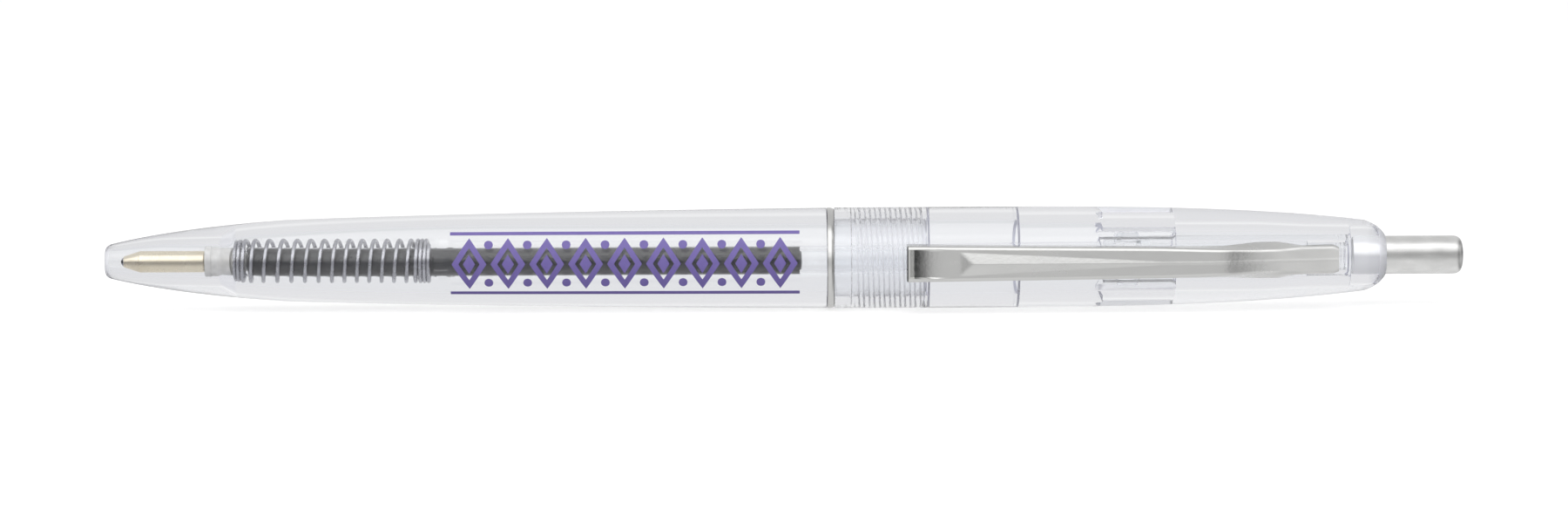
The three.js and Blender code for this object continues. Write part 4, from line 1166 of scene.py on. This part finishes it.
# %% Which way a ray goes
direction = room.nodes.new("ShaderNodeTexCoord")
parts = room.nodes.new("ShaderNodeSeparateXYZ")
room.links.new(direction.outputs["Generated"], parts.inputs["Vector"])
towards_viewer = arithmetic(room, "MULTIPLY", parts.outputs["Y"], -1.0)
turned_by = arithmetic(room, "ARCTAN2", parts.outputs["Z"], towards_viewer)
around = arithmetic(room, "ADD", arithmetic(room, "MULTIPLY", turned_by, 0.5 / np.pi), 0.5)
along_pen = arithmetic(room, "ADD", arithmetic(room, "MULTIPLY", parts.outputs["X"], 0.5), 0.5)

# %% What metal and clear plastic see
in_metal = colour_along(room, around, greys(
    (0.0, 0.7), (0.25, 0.75), (0.40, 0.82), (0.444, 0.78), (0.475, 0.62), (0.5, 0.62), (0.515, 0.85),
    (0.54, 1.2), (0.56, 1.45), (0.69, 1.45), (0.735, 0.62), (0.83, 0.62), (1.0, 0.7),
))
metal_ends = colour_along(room, along_pen, greys(
    (0.1, 0.02), (0.22, 0.05), (0.32, 0.4), (0.4, 0.88), (0.46, 1.0),
    (0.745, 1.0), (0.78, 0.68), (0.82, 0.38), (0.87, 0.3), (0.93, 0.75),
))
in_plastic = colour_along(room, around, [
    (0.0, (0.88, 0.88, 0.885)), (0.03, (0.82, 0.82, 0.83)), (0.06, (0.80, 0.80, 0.81)),
    (0.25, (0.78, 0.78, 0.80)), (0.40, (0.76, 0.76, 0.78)), (0.45, (0.64, 0.64, 0.67)),
    (0.48, (0.50, 0.50, 0.54)), (0.505, (0.46, 0.46, 0.50)), (0.525, (0.9, 0.9, 0.9)),
    (0.55, (1.5, 1.5, 1.5)), (0.57, (1.8, 1.8, 1.8)), (0.675, (1.8, 1.8, 1.8)),
    (0.70, (0.78, 0.78, 0.80)), (0.945, (0.79, 0.79, 0.80)), (0.958, (0.91, 0.91, 0.915)),
    (1.0, (0.90, 0.90, 0.905)),
])
plastic_ends = colour_along(room, along_pen, [
    (0.0, (0.96, 0.965, 0.99)), (0.24, (0.94, 0.945, 0.97)), (0.36, (1.0, 1.0, 1.0)),
    (0.64, (1.0, 1.0, 1.0)), (0.76, (0.88, 0.885, 0.92)), (0.9, (0.95, 0.95, 0.97)),
    (1.0, (0.95, 0.95, 0.97)),
])
mirrored = colour_mix(room, "MULTIPLY", 1.0, in_metal, metal_ends)
bent = colour_mix(room, "MULTIPLY", 1.0, in_plastic, plastic_ends)
seen_in_room = by_ray(room, WHITE, mirrored, bent, ROOM_GREY)
room.links.new(seen_in_room, room.nodes["Background"].inputs["Color"])
print("the room has", len(room.nodes), "nodes")

# %% [markdown]
# Two large lamps light the table and the printed band. Neither is mirrored or seen through the
# plastic, so the bands of the room stay clean. The camera looks square at the side with the clip,
# from a little above and through a long lens, which keeps the pen's outline almost parallel.

# %% Lamps
def soft_lamp(name, place, size, power):
    """A square lamp that faces the pen and that neither metal nor plastic shows."""
    data = bpy.data.lights.new(name, "AREA")
    data.shape = "SQUARE"
    data.size = size
    data.energy = power
    lamp = bpy.data.objects.new(name, data)
    lamp.location = place
    lamp.rotation_euler = (-Vector(place)).to_track_quat("-Z", "Y").to_euler()
    lamp.visible_glossy = False
    lamp.visible_transmission = False
    bpy.context.scene.collection.objects.link(lamp)
    print(name, "of", power, "W at", place)


soft_lamp("overhead_lamp", (0.0, -0.35, 0.6), 0.6, 2.2)
soft_lamp("front_lamp", (-0.15, -0.75, 0.25), 0.4, 1.6)

# %% Camera
ELEVATION, ROLL = np.radians(6.0), np.radians(-0.3)
DISTANCE, LENS, LOWERED = 0.45, 100, 0.00036
back = Vector((0.0, -np.cos(ELEVATION), np.sin(ELEVATION)))
up = Vector((0.0, np.sin(ELEVATION), np.cos(ELEVATION)))
target = Vector((NOSE_X + 70 * MM, AXIS.y, AXIS.z)) - up * LOWERED
camera_data = bpy.data.cameras.new("camera")
camera_data.lens = LENS
camera_data.clip_start, camera_data.clip_end = 0.01, 20
camera = bpy.data.objects.new("camera", camera_data)
camera.location = target + back * DISTANCE
camera.rotation_mode = "QUATERNION"
camera.rotation_quaternion = (-back).to_track_quat("-Z", "Y") @ Quaternion((0, 0, 1), ROLL)
bpy.context.scene.collection.objects.link(camera)
bpy.context.scene.camera = camera
bpy.context.scene.view_settings.view_transform = "Standard"
print("camera with a lens of", LENS, "mm,", DISTANCE, "m from the pen")

# %% How far light is followed through the clear walls
cycles = bpy.context.scene.cycles
cycles.max_bounces = 64
cycles.transmission_bounces = 64
cycles.glossy_bounces = 24
cycles.transparent_max_bounces = 32
